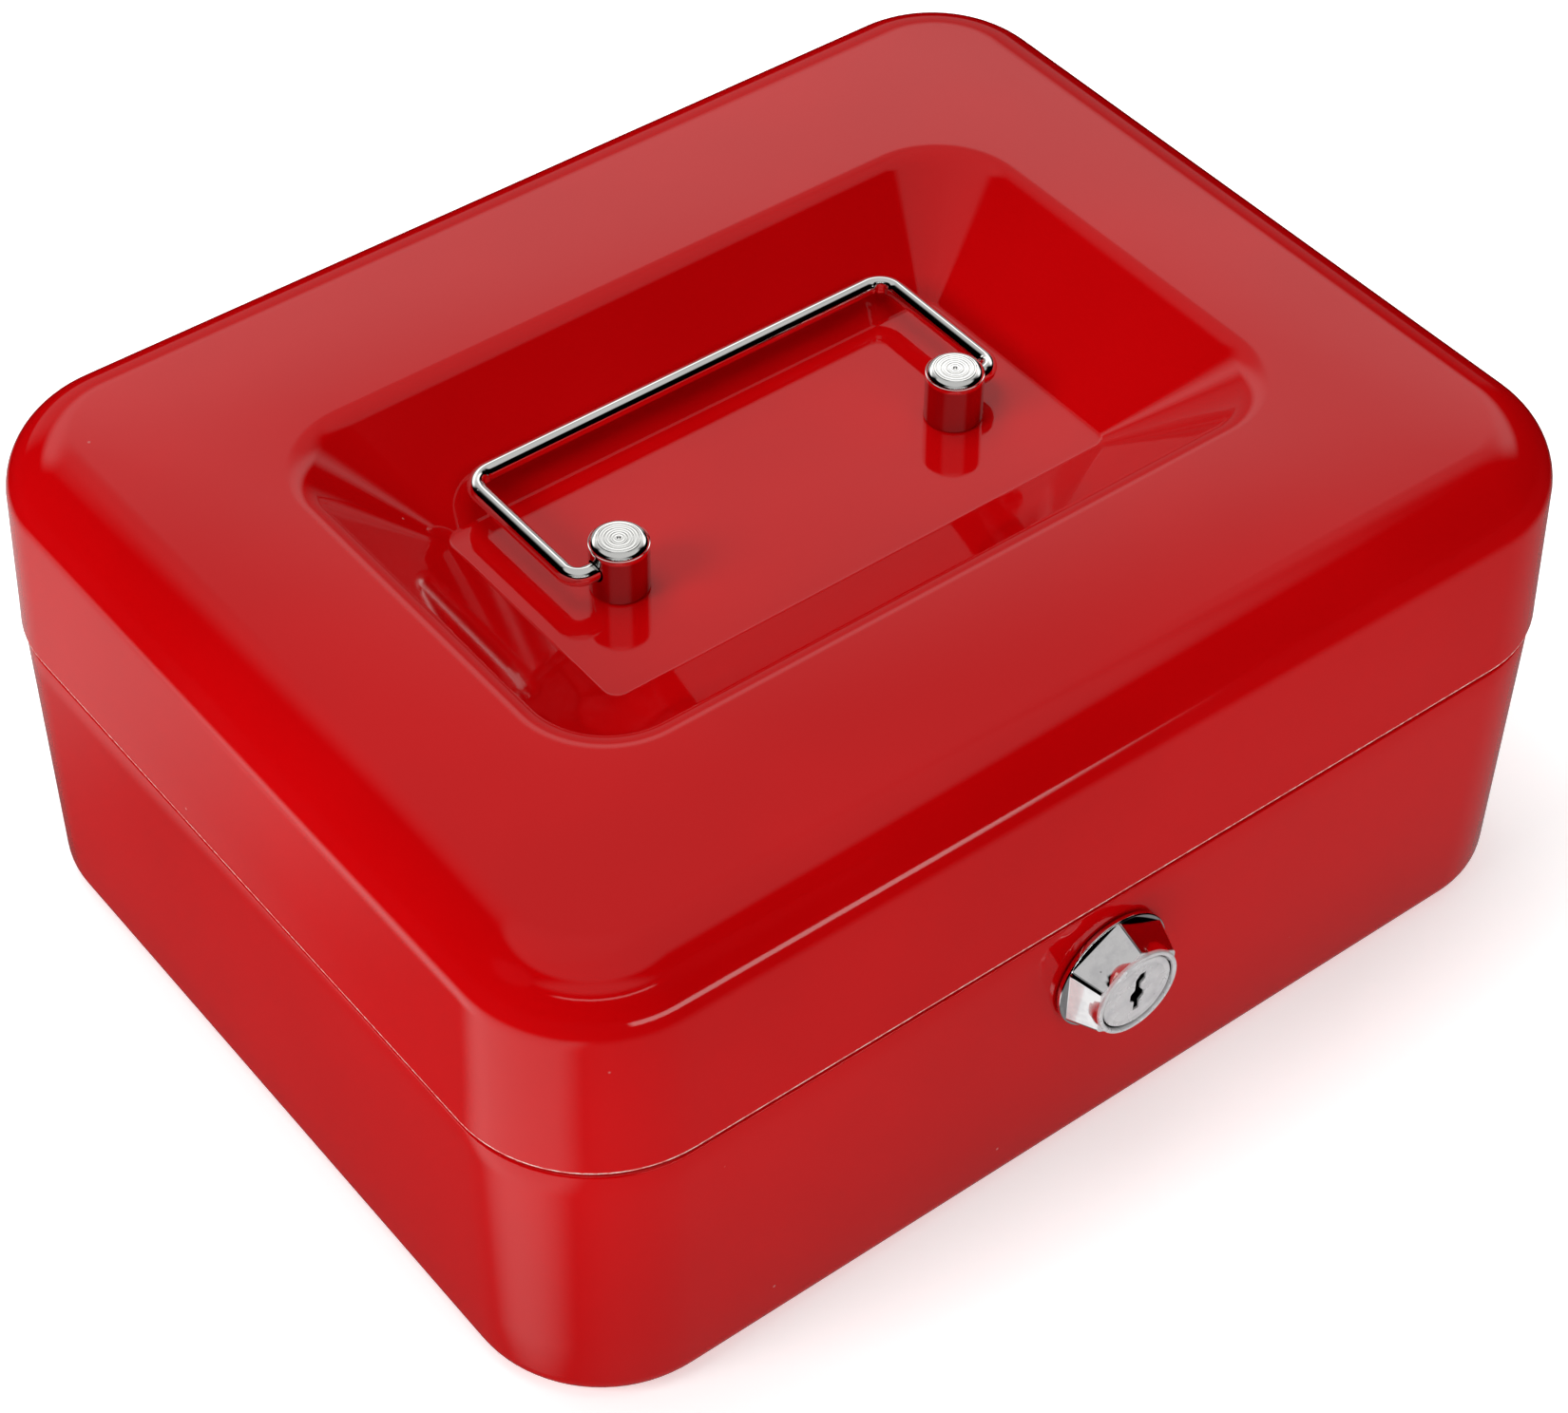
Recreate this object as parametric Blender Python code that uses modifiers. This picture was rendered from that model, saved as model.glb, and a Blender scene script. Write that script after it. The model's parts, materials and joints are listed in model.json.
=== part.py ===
"""Lockable steel cash box: drawn shells, recessed bail handle, faceted cam lock and lift-out coin tray.

Metres, +Z up, front (lock side) towards -Y, origin at the centre of the bottom face.
"""
import math

import bmesh
import bpy
from mathutils import Matrix, Vector

# Gaps and sheet
GAP = 0.0003                  # clearance between pieces that touch
SHEET = 0.0008                # steel sheet of lid and body

# Shells
HALF_WIDTH = 0.100            # lid skirt, along X
HALF_DEPTH = 0.080            # lid skirt, along Y
HEIGHT = 0.090
SEAM_Z = 0.054                # lower edge of the lid skirt
PLAN_RADIUS = 0.0233          # vertical corners, seen from above
ROLL_RADIUS = 0.0112          # edge between lid side and lid top
LID_DRAFT = 0.0010            # the lid side leans in by this up to the roll
BODY_INSET = 0.0004           # body wall behind the lid wall at the seam
BODY_DRAFT = 0.0007           # the body wall leans in by this down to the floor
FLOOR_RADIUS = 0.0040         # edge between body wall and floor
NECK_INSET = 0.0015           # neck behind the lid's outer face
NECK_TOP_Z = 0.062
SHOULDER_DROP = 0.0004        # shoulder below the lid skirt's edge
CORNER_STEPS = 7
ROLL_STEPS = 5

# Handle well in the lid
WELL_FLOOR_Z = 0.0757
WELL_HALF_X = 0.0475          # at the floor
WELL_HALF_Y = 0.0218
WELL_FLOOR_Y = 0.0005         # centre of the floor
WELL_RIM_Y = -0.0002          # centre of the rim
WELL_CORNER = 0.0025          # plan radius of the floor's corners
WELL_CORNER_GROWTH = 0.62     # how fast that radius grows up the slope
WELL_SLOPE = math.radians(37)
WELL_RIM_RADIUS = 0.006
WELL_FOOT_RADIUS = 0.0012

# Posts and bail
POST_X = 0.0322
PIVOT_Y = -0.0020
PIVOT_Z = 0.0810
POST_RADIUS = 0.00465
POST_TOP_Z = 0.0852
POST_CHAMFER = 0.0006
SHANK_RADIUS = 0.0025
TAIL_RADIUS = 0.0036
TAIL_THICKNESS = 0.0012
WASHER_RADIUS = 0.0055
WASHER_THICKNESS = 0.0008
CROSS_HOLE_RADIUS = 0.0018
CROSS_HOLE_DEPTH = 0.0045
WIRE_RADIUS = 0.0015
BAIL_HALF_WIDTH = 0.0404      # to the middle of the wire
BAIL_REACH = 0.0277           # pivot to the middle of the grip
BAIL_BEND = 0.0036            # bend radius at the grip
BAIL_END_BEND = 0.0026        # bend radius at the posts
BAIL_END_X = 0.0332           # where the wire ends inside a post
BEND_STEPS = 5

# Hinge
HINGE_Y = 0.0822
HINGE_HALF_LENGTH = 0.045
KNUCKLES = 5
KNUCKLE_RADIUS = 0.0020
KNUCKLE_BORE = 0.00125
PIN_RADIUS = 0.0010
LEAF_THICKNESS = 0.0008
LEAF_HEIGHT = 0.0155
LEAF_CLEARANCE = 0.0023       # leaf edge to hinge axis
WEB_DEPTH = 0.0014
RIVET_SPACING = 0.030
RIVET_RADIUS = 0.0015
RIVET_HEAD_RADIUS = 0.0027
RIVET_HEAD_HEIGHT = 0.0008
BODY_RIVET_Z = 0.0440
LID_RIVET_Z = 0.0668

# Lock
LOCK_Z = 0.038
LOCK_WALL_Y = -0.07985        # rear face of the bezel flange
FLANGE_RADIUS = 0.0104
FLANGE_THICKNESS = 0.0009
BEZEL_BASE_RADIUS = 0.0103    # to the corners of the hexagon
BEZEL_FRONT_RADIUS = 0.0083
BEZEL_FRONT_Y = -0.0859
RIM_RADIUS = 0.0076
RIM_FRONT_Y = -0.0864
BARREL_RADIUS = 0.0080
BARREL_END_Y = -0.0690
HEAD_BORE_RADIUS = 0.00685
PLUG_HEAD_RADIUS = 0.0065
PLUG_FRONT_Y = -0.0861
HEAD_BORE_END_Y = -0.0840
PLUG_RADIUS = 0.0055
PLUG_BORE_RADIUS = 0.0058
NUT_FLAT_RADIUS = 0.0110
NUT_THICKNESS = 0.0030
TANG_RADIUS = 0.0030
TANG_FLAT = 0.0022            # half the distance across the tang's flats
CAM_Y = -0.0677               # middle of the cam plate
CAM_THICKNESS = 0.0016
CAM_HUB_RADIUS = 0.0062
CAM_LENGTH = 0.0150
CAM_HALF_WIDTH = 0.0038
SCREW_RADIUS = 0.0015
SCREW_HEAD_RADIUS = 0.0034
SCREW_HEAD_HEIGHT = 0.0016
SCREW_DEPTH = 0.0045
STAR_WASHER_RADIUS = 0.0040
STAR_WASHER_THICKNESS = 0.0006
KEYWAY_END_Y = -0.0735
KEYWAY_WIDTH = 0.0011
KEYWAY_HALF_HEIGHT = 0.0038
KEYWAY_STEP = 0.0008
WAFERS = 4
WAFER_FIRST_Y = -0.0824
WAFER_PITCH = 0.0022
WAFER_THICKNESS = 0.0008
WAFER_SIZE = Vector((0.0056, 0.0086))
WAFER_WINDOW = Vector((0.0032, 0.0078))

# Strike in the lid
STRIKE_X = 0.0130
STRIKE_HALF_WIDTH = 0.0040
STRIKE_THICKNESS = 0.0010
STRIKE_TOP_Z = 0.0760
STRIKE_SHELF_Z = 0.0662
STRIKE_PLATE_Y = -0.0652
STRIKE_LIP_Z = 0.0320
STRIKE_LIP_Y = -0.0702

# Coin tray
TRAY_BOTTOM_Z = 0.034
TRAY_FRONT_Y = -0.0615
TRAY_REAR_Y = 0.0755
TRAY_HALF_WIDTH = 0.0955
TRAY_DRAFT = 0.0015
TRAY_WALL = 0.0018
TRAY_FLOOR = 0.0016
TRAY_FLANGE_HALF_WIDTH = 0.0983
TRAY_FLANGE_OUT_Y = 0.0016
TRAY_FLANGE_THICKNESS = 0.0015
TRAY_CORNER = 0.0200
TRAY_CUPS = 4
TRAY_DIVIDER_Y = 0.0255       # between the coin cups and the note well
CUP_CORNER = 0.0170
CUP_FOOT = 0.0050
FINGER_NOTCH_RADIUS = 0.0100

TURN_STEPS = 24
SMOOTH_ANGLE = math.radians(40)
HALF_TURN = math.pi
QUARTER_TURN = math.pi / 2

PARTS_COLLECTION = "cash_box"
CUTTERS_COLLECTION = "cutters"


# ---------------------------------------------------------------- scene and materials

def clear_scene():
    for item in list(bpy.data.objects):
        bpy.data.objects.remove(item, do_unlink=True)


def collection(name):
    found = bpy.data.collections.get(name) or bpy.data.collections.new(name)
    if found.name not in bpy.context.scene.collection.children:
        bpy.context.scene.collection.children.link(found)
    return found


def material(name, color, roughness, metallic):
    made = bpy.data.materials.new(name)
    made.use_nodes = True
    shader = made.node_tree.nodes["Principled BSDF"]
    shader.inputs["Base Color"].default_value = (*color, 1.0)
    shader.inputs["Roughness"].default_value = roughness
    shader.inputs["Metallic"].default_value = metallic
    return made


def red_paint(name):
    return material(name, (0.50, 0.004, 0.006), 0.12, 0.0)


def chrome(name):
    return material(name, (0.80, 0.80, 0.78), 0.08, 1.0)


def zinc_steel(name):
    return material(name, (0.55, 0.56, 0.57), 0.32, 1.0)


def brass(name):
    return material(name, (0.72, 0.52, 0.22), 0.30, 1.0)


def black_plastic(name):
    return material(name, (0.020, 0.020, 0.022), 0.45, 0.0)


def add_object(name, data, paint=None, place=None):
    """Link an object as a part, or as a hidden cutter when it has no material."""
    made = bpy.data.objects.new(name, data)
    if place is not None:
        made.matrix_world = place
    if paint is None:
        collection(CUTTERS_COLLECTION).objects.link(made)
        made.hide_render = True
        made.display_type = "WIRE"
    else:
        collection(PARTS_COLLECTION).objects.link(made)
        data.materials.append(paint(name))
    return made


def axis_empty(name, position):
    empty = bpy.data.objects.new(name, None)
    empty.location = position
    collection(PARTS_COLLECTION).objects.link(empty)
    return empty


def hang(pieces, empty):
    """Parent pieces to the empty on their joint's axis, leaving them where they are."""
    for piece in pieces:
        piece.parent = empty
        piece.matrix_parent_inverse = Matrix.Translation(-empty.location)


# ---------------------------------------------------------------- shape helpers

def finish_mesh(bm, name):
    data = bpy.data.meshes.new(name)
    bm.to_mesh(data)
    bm.free()
    data.shade_smooth()
    data.set_sharp_from_angle(angle=SMOOTH_ANGLE)
    return data


def box(name, low, high, paint=None, place=None):
    low, high = Vector(low), Vector(high)
    bm = bmesh.new()
    size = Matrix.Diagonal((*(high - low), 1.0))
    bmesh.ops.create_cube(bm, size=1.0, matrix=Matrix.Translation((low + high) / 2) @ size)
    return add_object(name, finish_mesh(bm, name), paint, place)


def rod(name, start, end, radius, paint=None, end_radius=None, sides=TURN_STEPS, twist=0.0):
    """A cylinder, or a frustum or prism, whose axis runs from start to end."""
    start, end = Vector(start), Vector(end)
    along = end - start
    place = Matrix.Translation((start + end) / 2) @ along.to_track_quat("Z", "Y").to_matrix().to_4x4()
    bm = bmesh.new()
    bmesh.ops.create_cone(
        bm, cap_ends=True, segments=sides, radius1=radius,
        radius2=radius if end_radius is None else end_radius,
        depth=along.length, matrix=place @ Matrix.Rotation(twist, 4, "Z"))
    return add_object(name, finish_mesh(bm, name), paint)


def turned(name, profile, paint=None, place=None, closed=False):
    """Turn a profile of (radius, height) points, listed from the top down its outer side."""
    data = bpy.data.meshes.new(name)
    count = len(profile)
    edges = [(i, i + 1) for i in range(count - 1)]
    if closed:
        edges.append((count - 1, 0))
    data.from_pydata([(radius, 0.0, height) for radius, height in profile], edges, [])
    made = add_object(name, data, paint, place)
    screw = made.modifiers.new("turn", "SCREW")
    screw.steps = TURN_STEPS
    screw.render_steps = TURN_STEPS
    screw.use_merge_vertices = True
    screw.merge_threshold = 0.00001
    screw.use_smooth_shade = False
    return made


def rounded_ring(half_x, half_y, radius, z, centre_x=0.0, centre_y=0.0):
    """A level rounded rectangle, anticlockwise seen from above."""
    points = []
    signs = ((1, 1), (-1, 1), (-1, -1), (1, -1))
    for corner, (sign_x, sign_y) in enumerate(signs):
        for step in range(CORNER_STEPS + 1):
            angle = (corner + step / CORNER_STEPS) * QUARTER_TURN
            x = centre_x + sign_x * (half_x - radius) + radius * math.cos(angle)
            y = centre_y + sign_y * (half_y - radius) + radius * math.sin(angle)
            points.append((x, y, z))
    return points


def loft(name, rings, cap_start, cap_end, paint=None):
    """Skin a row of rings of equal point count; the rings run up the outer side."""
    bm = bmesh.new()
    loops = [[bm.verts.new(point) for point in ring] for ring in rings]
    for lower, upper in zip(loops, loops[1:]):
        for i in range(len(lower)):
            j = (i + 1) % len(lower)
            bm.faces.new((lower[i], lower[j], upper[j], upper[i]))
    if cap_start:
        bm.faces.new(reversed(loops[0]))
    if cap_end:
        bm.faces.new(loops[-1])
    return add_object(name, finish_mesh(bm, name), paint)


def solidify(piece, thickness, offset=-1.0):
    shell = piece.modifiers.new("sheet", "SOLIDIFY")
    shell.thickness = thickness
    shell.offset = offset
    shell.use_even_offset = True


def boolean(piece, tool, operation):
    step = piece.modifiers.new(tool.name, "BOOLEAN")
    step.operation = operation
    step.solver = "EXACT"
    step.object = tool


def cut(piece, *tools):
    for tool in tools:
        boolean(piece, tool, "DIFFERENCE")


def join(piece, *tools):
    for tool in tools:
        boolean(piece, tool, "UNION")


def flat_curve(name, outlines, thickness):
    """A flat plate in its own XY plane; outlines after the first are holes."""
    data = bpy.data.curves.new(name, "CURVE")
    data.dimensions = "2D"
    data.fill_mode = "BOTH"
    data.extrude = thickness / 2
    for outline in outlines:
        spline = data.splines.new("POLY")
        spline.points.add(len(outline) - 1)
        for point, (x, y) in zip(spline.points, outline):
            point.co = (x, y, 0.0, 1.0)
        spline.use_cyclic_u = True
    return data


def plate(name, outlines, thickness, place, paint):
    return add_object(name, flat_curve(name, outlines, thickness), paint, place)


def solid_from_curve(name, data, place, paint=None):
    """Turn a curve into a welded mesh object that can take or be a Boolean."""
    curve = add_object(name + "_curve", data, None, place)
    bpy.context.view_layer.update()
    evaluated = curve.evaluated_get(bpy.context.evaluated_depsgraph_get())
    mesh = bpy.data.meshes.new_from_object(evaluated)
    mesh.name = name
    bm = bmesh.new()
    bm.from_mesh(mesh)
    bmesh.ops.remove_doubles(bm, verts=bm.verts, dist=0.00001)
    bmesh.ops.recalc_face_normals(bm, faces=bm.faces)
    bm.to_mesh(mesh)
    bm.free()
    made = add_object(name, mesh, paint, curve.matrix_world.copy())
    bpy.data.objects.remove(curve, do_unlink=True)
    return made


def arc(centre, radius, start, end, steps):
    """Points on an arc in a plane, both ends included."""
    points = []
    for step in range(steps + 1):
        angle = start + (end - start) * step / steps
        points.append((centre[0] + radius * math.cos(angle), centre[1] + radius * math.sin(angle)))
    return points


def rectangle(half_x, half_y):
    return [(-half_x, -half_y), (half_x, -half_y), (half_x, half_y), (-half_x, half_y)]


# ---------------------------------------------------------------- shells

def quarter_profile(radius, steps):
    """Inset and rise along a rounded edge that starts vertical."""
    profile = []
    for step in range(1, steps + 1):
        angle = QUARTER_TURN * step / steps
        profile.append((radius * (1 - math.cos(angle)), radius * math.sin(angle)))
    return profile


def body_wall_inset(z):
    """How far the body's outer wall stands behind the lid's at a height."""
    top = SEAM_Z - SHOULDER_DROP
    return BODY_INSET + BODY_DRAFT * (top - z) / top


def lid_wall_inset(z):
    """How far the lid's side has leaned in at a height."""
    return LID_DRAFT * (z - SEAM_Z) / (HEIGHT - ROLL_RADIUS - SEAM_Z)


def shell_ring(inset, z):
    return rounded_ring(HALF_WIDTH - inset, HALF_DEPTH - inset, PLAN_RADIUS - inset, z)


def make_box_body():
    foot_inset = body_wall_inset(FLOOR_RADIUS)
    rings = [shell_ring(foot_inset + inset, FLOOR_RADIUS - drop)
             for inset, drop in reversed(quarter_profile(FLOOR_RADIUS, 3))]
    rings.append(shell_ring(foot_inset, FLOOR_RADIUS))
    shoulder_z = SEAM_Z - SHOULDER_DROP
    rings.append(shell_ring(BODY_INSET, shoulder_z - SHEET / 2))
    rings.append(shell_ring(NECK_INSET, shoulder_z))
    rings.append(shell_ring(NECK_INSET, NECK_TOP_Z))
    body = loft("box_body", rings, True, False, red_paint)
    solidify(body, SHEET)
    lock_hole = rod("lock_hole", (0, -HALF_DEPTH - SHEET, LOCK_Z), (0, -HALF_DEPTH + 4 * SHEET, LOCK_Z),
                    BARREL_RADIUS + GAP)
    cut(body, lock_hole)
    for index, x in enumerate(rivet_places(), start=1):
        cut(body, rod(f"body_rivet_hole_{index}", (x, HALF_DEPTH - 4 * SHEET, BODY_RIVET_Z),
                      (x, HALF_DEPTH + 4 * SHEET, BODY_RIVET_Z), RIVET_RADIUS + GAP))
    return body


def well_profile():
    """Offset from the well's floor edge and height, from the lid's top down to the floor."""
    depth = HEIGHT - WELL_FLOOR_Z
    rim_tangent = WELL_RIM_RADIUS * math.tan(WELL_SLOPE / 2)
    foot_tangent = WELL_FOOT_RADIUS * math.tan(WELL_SLOPE / 2)
    run = depth / math.tan(WELL_SLOPE)
    profile = []
    for step in range(5):
        angle = WELL_SLOPE * step / 4
        profile.append((run + rim_tangent - WELL_RIM_RADIUS * math.sin(angle),
                        HEIGHT - WELL_RIM_RADIUS * (1 - math.cos(angle))))
    for step in range(3):
        angle = WELL_SLOPE * (1 - step / 2)
        profile.append((-foot_tangent + WELL_FOOT_RADIUS * math.sin(angle),
                        WELL_FLOOR_Z + WELL_FOOT_RADIUS * (1 - math.cos(angle))))
    return profile


def make_lid_shell():
    side_top = HEIGHT - ROLL_RADIUS
    rings = [shell_ring(0.0, SEAM_Z), shell_ring(LID_DRAFT, side_top)]
    for inset, rise in quarter_profile(ROLL_RADIUS, ROLL_STEPS):
        rings.append(shell_ring(LID_DRAFT + inset, side_top + rise))
    for offset, z in well_profile():
        share = (z - WELL_FLOOR_Z) / (HEIGHT - WELL_FLOOR_Z)
        centre_y = WELL_FLOOR_Y + (WELL_RIM_Y - WELL_FLOOR_Y) * share
        rings.append(rounded_ring(WELL_HALF_X + offset, WELL_HALF_Y + offset,
                                  WELL_CORNER + WELL_CORNER_GROWTH * offset, z, centre_y=centre_y))
    lid = loft("lid_shell", rings, False, True, red_paint)
    solidify(lid, SHEET)
    for side, x in (("left", -POST_X), ("right", POST_X)):
        cut(lid, rod(f"post_hole_{side}", (x, PIVOT_Y, WELL_FLOOR_Z - 4 * SHEET),
                     (x, PIVOT_Y, WELL_FLOOR_Z + 4 * SHEET), SHANK_RADIUS + GAP))
    for index, x in enumerate(rivet_places(), start=1):
        cut(lid, rod(f"lid_rivet_hole_{index}", (x, HALF_DEPTH - 4 * SHEET, LID_RIVET_Z),
                     (x, HALF_DEPTH + 4 * SHEET, LID_RIVET_Z), RIVET_RADIUS + GAP))
    return lid


# ---------------------------------------------------------------- hinge

def rivet_places():
    return (-RIVET_SPACING, 0.0, RIVET_SPACING)


def knuckle_spans():
    length = 2 * HINGE_HALF_LENGTH / KNUCKLES
    return [(-HINGE_HALF_LENGTH + i * length + GAP / 2, -HINGE_HALF_LENGTH + (i + 1) * length - GAP / 2)
            for i in range(KNUCKLES)]


def make_hinge_leaf(name, upward, face_y, lean, rivet_z):
    """A leaf whose plate lies on a shell's rear wall, with its own knuckles on the hinge axis."""
    near = SEAM_Z + upward * LEAF_CLEARANCE
    far = SEAM_Z + upward * (LEAF_CLEARANCE + LEAF_HEIGHT)
    low_z, high_z = min(near, far), max(near, far)
    foot = Vector((0, face_y, SEAM_Z))
    tilt = Matrix.Translation(foot) @ Matrix.Rotation(lean, 4, "X") @ Matrix.Translation(-foot)
    leaf = box(name, (-HINGE_HALF_LENGTH, face_y, low_z),
               (HINGE_HALF_LENGTH, face_y + LEAF_THICKNESS, high_z), zinc_steel, tilt)
    first = 0 if upward < 0 else 1
    for index, (start, end) in list(enumerate(knuckle_spans()))[first::2]:
        web_z = sorted((SEAM_Z + upward * 2 * GAP, near + upward * LEAF_THICKNESS))
        web = box(f"{name}_web_{index}", (start, face_y, web_z[0]),
                  (end, face_y + WEB_DEPTH, web_z[1]))
        knuckle = rod(f"{name}_knuckle_{index}", (start, HINGE_Y, SEAM_Z), (end, HINGE_Y, SEAM_Z),
                      KNUCKLE_RADIUS)
        join(leaf, web, knuckle)
    bore = rod(f"{name}_bore", (-HINGE_HALF_LENGTH - SHEET, HINGE_Y, SEAM_Z),
               (HINGE_HALF_LENGTH + SHEET, HINGE_Y, SEAM_Z), KNUCKLE_BORE)
    cut(leaf, bore)
    for index, x in enumerate(rivet_places()):
        cut(leaf, rod(f"{name}_hole_{index}", (x, face_y - 2 * SHEET, rivet_z),
                      (x, face_y + 4 * SHEET, rivet_z), RIVET_RADIUS + GAP))
    return leaf


def make_rivet(name, x, z, inner_y, outer_y):
    """A dome-headed rivet along Y: flat head inside the wall, dome outside the leaf."""
    dome = [(RIVET_HEAD_RADIUS * math.sin(QUARTER_TURN * step / 3),
             outer_y + GAP + RIVET_HEAD_HEIGHT * math.cos(QUARTER_TURN * step / 3)) for step in range(4)]
    profile = dome + [
        (RIVET_RADIUS, outer_y + GAP),
        (RIVET_RADIUS, inner_y - GAP),
        (RIVET_HEAD_RADIUS, inner_y - GAP),
        (RIVET_HEAD_RADIUS, inner_y - GAP - RIVET_HEAD_HEIGHT),
        (0.0, inner_y - GAP - RIVET_HEAD_HEIGHT),
    ]
    place = Matrix.Translation((x, 0, z)) @ Matrix.Rotation(-QUARTER_TURN, 4, "X")
    return turned(name, profile, zinc_steel, place)


def make_hinge():
    body_face = HALF_DEPTH - BODY_INSET + GAP
    lid_face = HALF_DEPTH + GAP
    lid_lean = math.atan(LID_DRAFT / (HEIGHT - ROLL_RADIUS - SEAM_Z))
    body_lean = math.atan(BODY_DRAFT / SEAM_Z)
    body_leaf = make_hinge_leaf("hinge_leaf_body", -1, body_face, -body_lean, BODY_RIVET_Z)
    lid_leaf = make_hinge_leaf("hinge_leaf_lid", 1, lid_face, lid_lean, LID_RIVET_Z)
    pin = rod("hinge_pin", (-HINGE_HALF_LENGTH, HINGE_Y, SEAM_Z),
              (HINGE_HALF_LENGTH, HINGE_Y, SEAM_Z), PIN_RADIUS, zinc_steel)
    lid_rivets = []
    for index, x in enumerate(rivet_places(), start=1):
        wall_y = HALF_DEPTH - body_wall_inset(BODY_RIVET_Z)
        make_rivet(f"hinge_rivet_body_{index}", x, BODY_RIVET_Z, wall_y - SHEET - GAP / 3,
                   wall_y + GAP + LEAF_THICKNESS + GAP / 3)
        wall_y = HALF_DEPTH - lid_wall_inset(LID_RIVET_Z)
        lid_rivets.append(make_rivet(f"hinge_rivet_lid_{index}", x, LID_RIVET_Z, wall_y - SHEET - GAP / 3,
                                     wall_y + GAP + LEAF_THICKNESS + GAP / 3))
    return pin, body_leaf, [lid_leaf] + lid_rivets


# ---------------------------------------------------------------- posts and bail

def make_post(side, x):
    """A turned post, its shank through the well's floor and its tail peened over a washer."""
    foot = WELL_FLOOR_Z + GAP
    under = WELL_FLOOR_Z - SHEET
    washer_top = under - GAP
    tail_top = washer_top - WASHER_THICKNESS - GAP
    profile = [
        (0.0, POST_TOP_Z),
        (POST_RADIUS - POST_CHAMFER, POST_TOP_Z),
        (POST_RADIUS, POST_TOP_Z - POST_CHAMFER),
        (POST_RADIUS, foot),
        (SHANK_RADIUS, foot),
        (SHANK_RADIUS, tail_top),
        (TAIL_RADIUS, tail_top),
        (TAIL_RADIUS * 0.7, tail_top - TAIL_THICKNESS),
        (0.0, tail_top - TAIL_THICKNESS),
    ]
    place = Matrix.Translation((x, PIVOT_Y, 0))
    post = turned(f"handle_post_{side}", profile, chrome, place)
    outward = math.copysign(1.0, x)
    mouth = x + outward * (POST_RADIUS + GAP)
    floor = x + outward * (POST_RADIUS - CROSS_HOLE_DEPTH)
    cut(post, rod(f"cross_hole_{side}", (floor, PIVOT_Y, PIVOT_Z), (mouth, PIVOT_Y, PIVOT_Z),
                  CROSS_HOLE_RADIUS, sides=16))
    washer_profile = [
        (SHANK_RADIUS + GAP, washer_top),
        (WASHER_RADIUS, washer_top),
        (WASHER_RADIUS, washer_top - WASHER_THICKNESS),
        (SHANK_RADIUS + GAP, washer_top - WASHER_THICKNESS),
    ]
    washer = turned(f"post_washer_{side}", washer_profile, zinc_steel, place, closed=True)
    return [post, washer]


def bail_path():
    """Half the bail in its own plane, from its end in the right post to the middle of the grip."""
    end_bend = arc((BAIL_HALF_WIDTH - BAIL_END_BEND, BAIL_END_BEND), BAIL_END_BEND,
                   -QUARTER_TURN, 0.0, BEND_STEPS)
    grip_bend = arc((BAIL_HALF_WIDTH - BAIL_BEND, BAIL_REACH - BAIL_BEND), BAIL_BEND,
                    0.0, QUARTER_TURN, BEND_STEPS)
    return [(BAIL_END_X, 0.0)] + end_bend + grip_bend


def make_bail():
    right = bail_path()
    left = [(-x, y) for x, y in reversed(right)]
    data = bpy.data.curves.new("handle_bail", "CURVE")
    data.dimensions = "3D"
    data.bevel_depth = WIRE_RADIUS
    data.bevel_resolution = 2
    data.use_fill_caps = True
    path = right + left
    spline = data.splines.new("POLY")
    spline.points.add(len(path) - 1)
    for point, (x, y) in zip(spline.points, path):
        point.co = (x, y, 0.0, 1.0)
    return add_object("handle_bail", data, chrome, Matrix.Translation((0, PIVOT_Y, PIVOT_Z)))


# ---------------------------------------------------------------- lock

def lock_point(y):
    return (0.0, y, LOCK_Z)


def make_lock_housing():
    """Bezel with six flats and a round rim, and the barrel behind it, bored for the plug."""
    housing = rod("lock_housing", lock_point(LOCK_WALL_Y - FLANGE_THICKNESS), lock_point(LOCK_WALL_Y),
                  FLANGE_RADIUS, chrome, sides=36)
    bezel = rod("bezel_flats", lock_point(LOCK_WALL_Y - FLANGE_THICKNESS / 2), lock_point(BEZEL_FRONT_Y),
                BEZEL_BASE_RADIUS, end_radius=BEZEL_FRONT_RADIUS, sides=6, twist=QUARTER_TURN)
    rim = rod("bezel_rim", lock_point(BEZEL_FRONT_Y + FLANGE_THICKNESS), lock_point(RIM_FRONT_Y),
              RIM_RADIUS, sides=36)
    barrel = rod("barrel", lock_point(LOCK_WALL_Y - FLANGE_THICKNESS / 2), lock_point(BARREL_END_Y),
                 BARREL_RADIUS, sides=36)
    join(housing, bezel, rim, barrel)
    head_bore = rod("head_bore", lock_point(RIM_FRONT_Y - GAP), lock_point(HEAD_BORE_END_Y),
                    HEAD_BORE_RADIUS, sides=36)
    plug_bore = rod("plug_bore", lock_point(RIM_FRONT_Y - GAP), lock_point(BARREL_END_Y + GAP),
                    PLUG_BORE_RADIUS)
    cut(housing, head_bore, plug_bore)
    return housing


def make_lock_nut():
    outer = NUT_FLAT_RADIUS / math.cos(math.pi / 6)
    hexagon = arc((0, 0), outer, 0.0, 2 * math.pi * 5 / 6, 5)
    hole = arc((0, 0), BARREL_RADIUS + GAP, 0.0, 2 * math.pi * 35 / 36, 35)
    wall_inner = -HALF_DEPTH + BODY_INSET + BODY_DRAFT + SHEET
    place = Matrix.Translation(lock_point(wall_inner + GAP + NUT_THICKNESS / 2))
    place = place @ Matrix.Rotation(QUARTER_TURN, 4, "X")
    return plate("lock_nut", [hexagon, hole], NUT_THICKNESS, place, zinc_steel)


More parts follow.
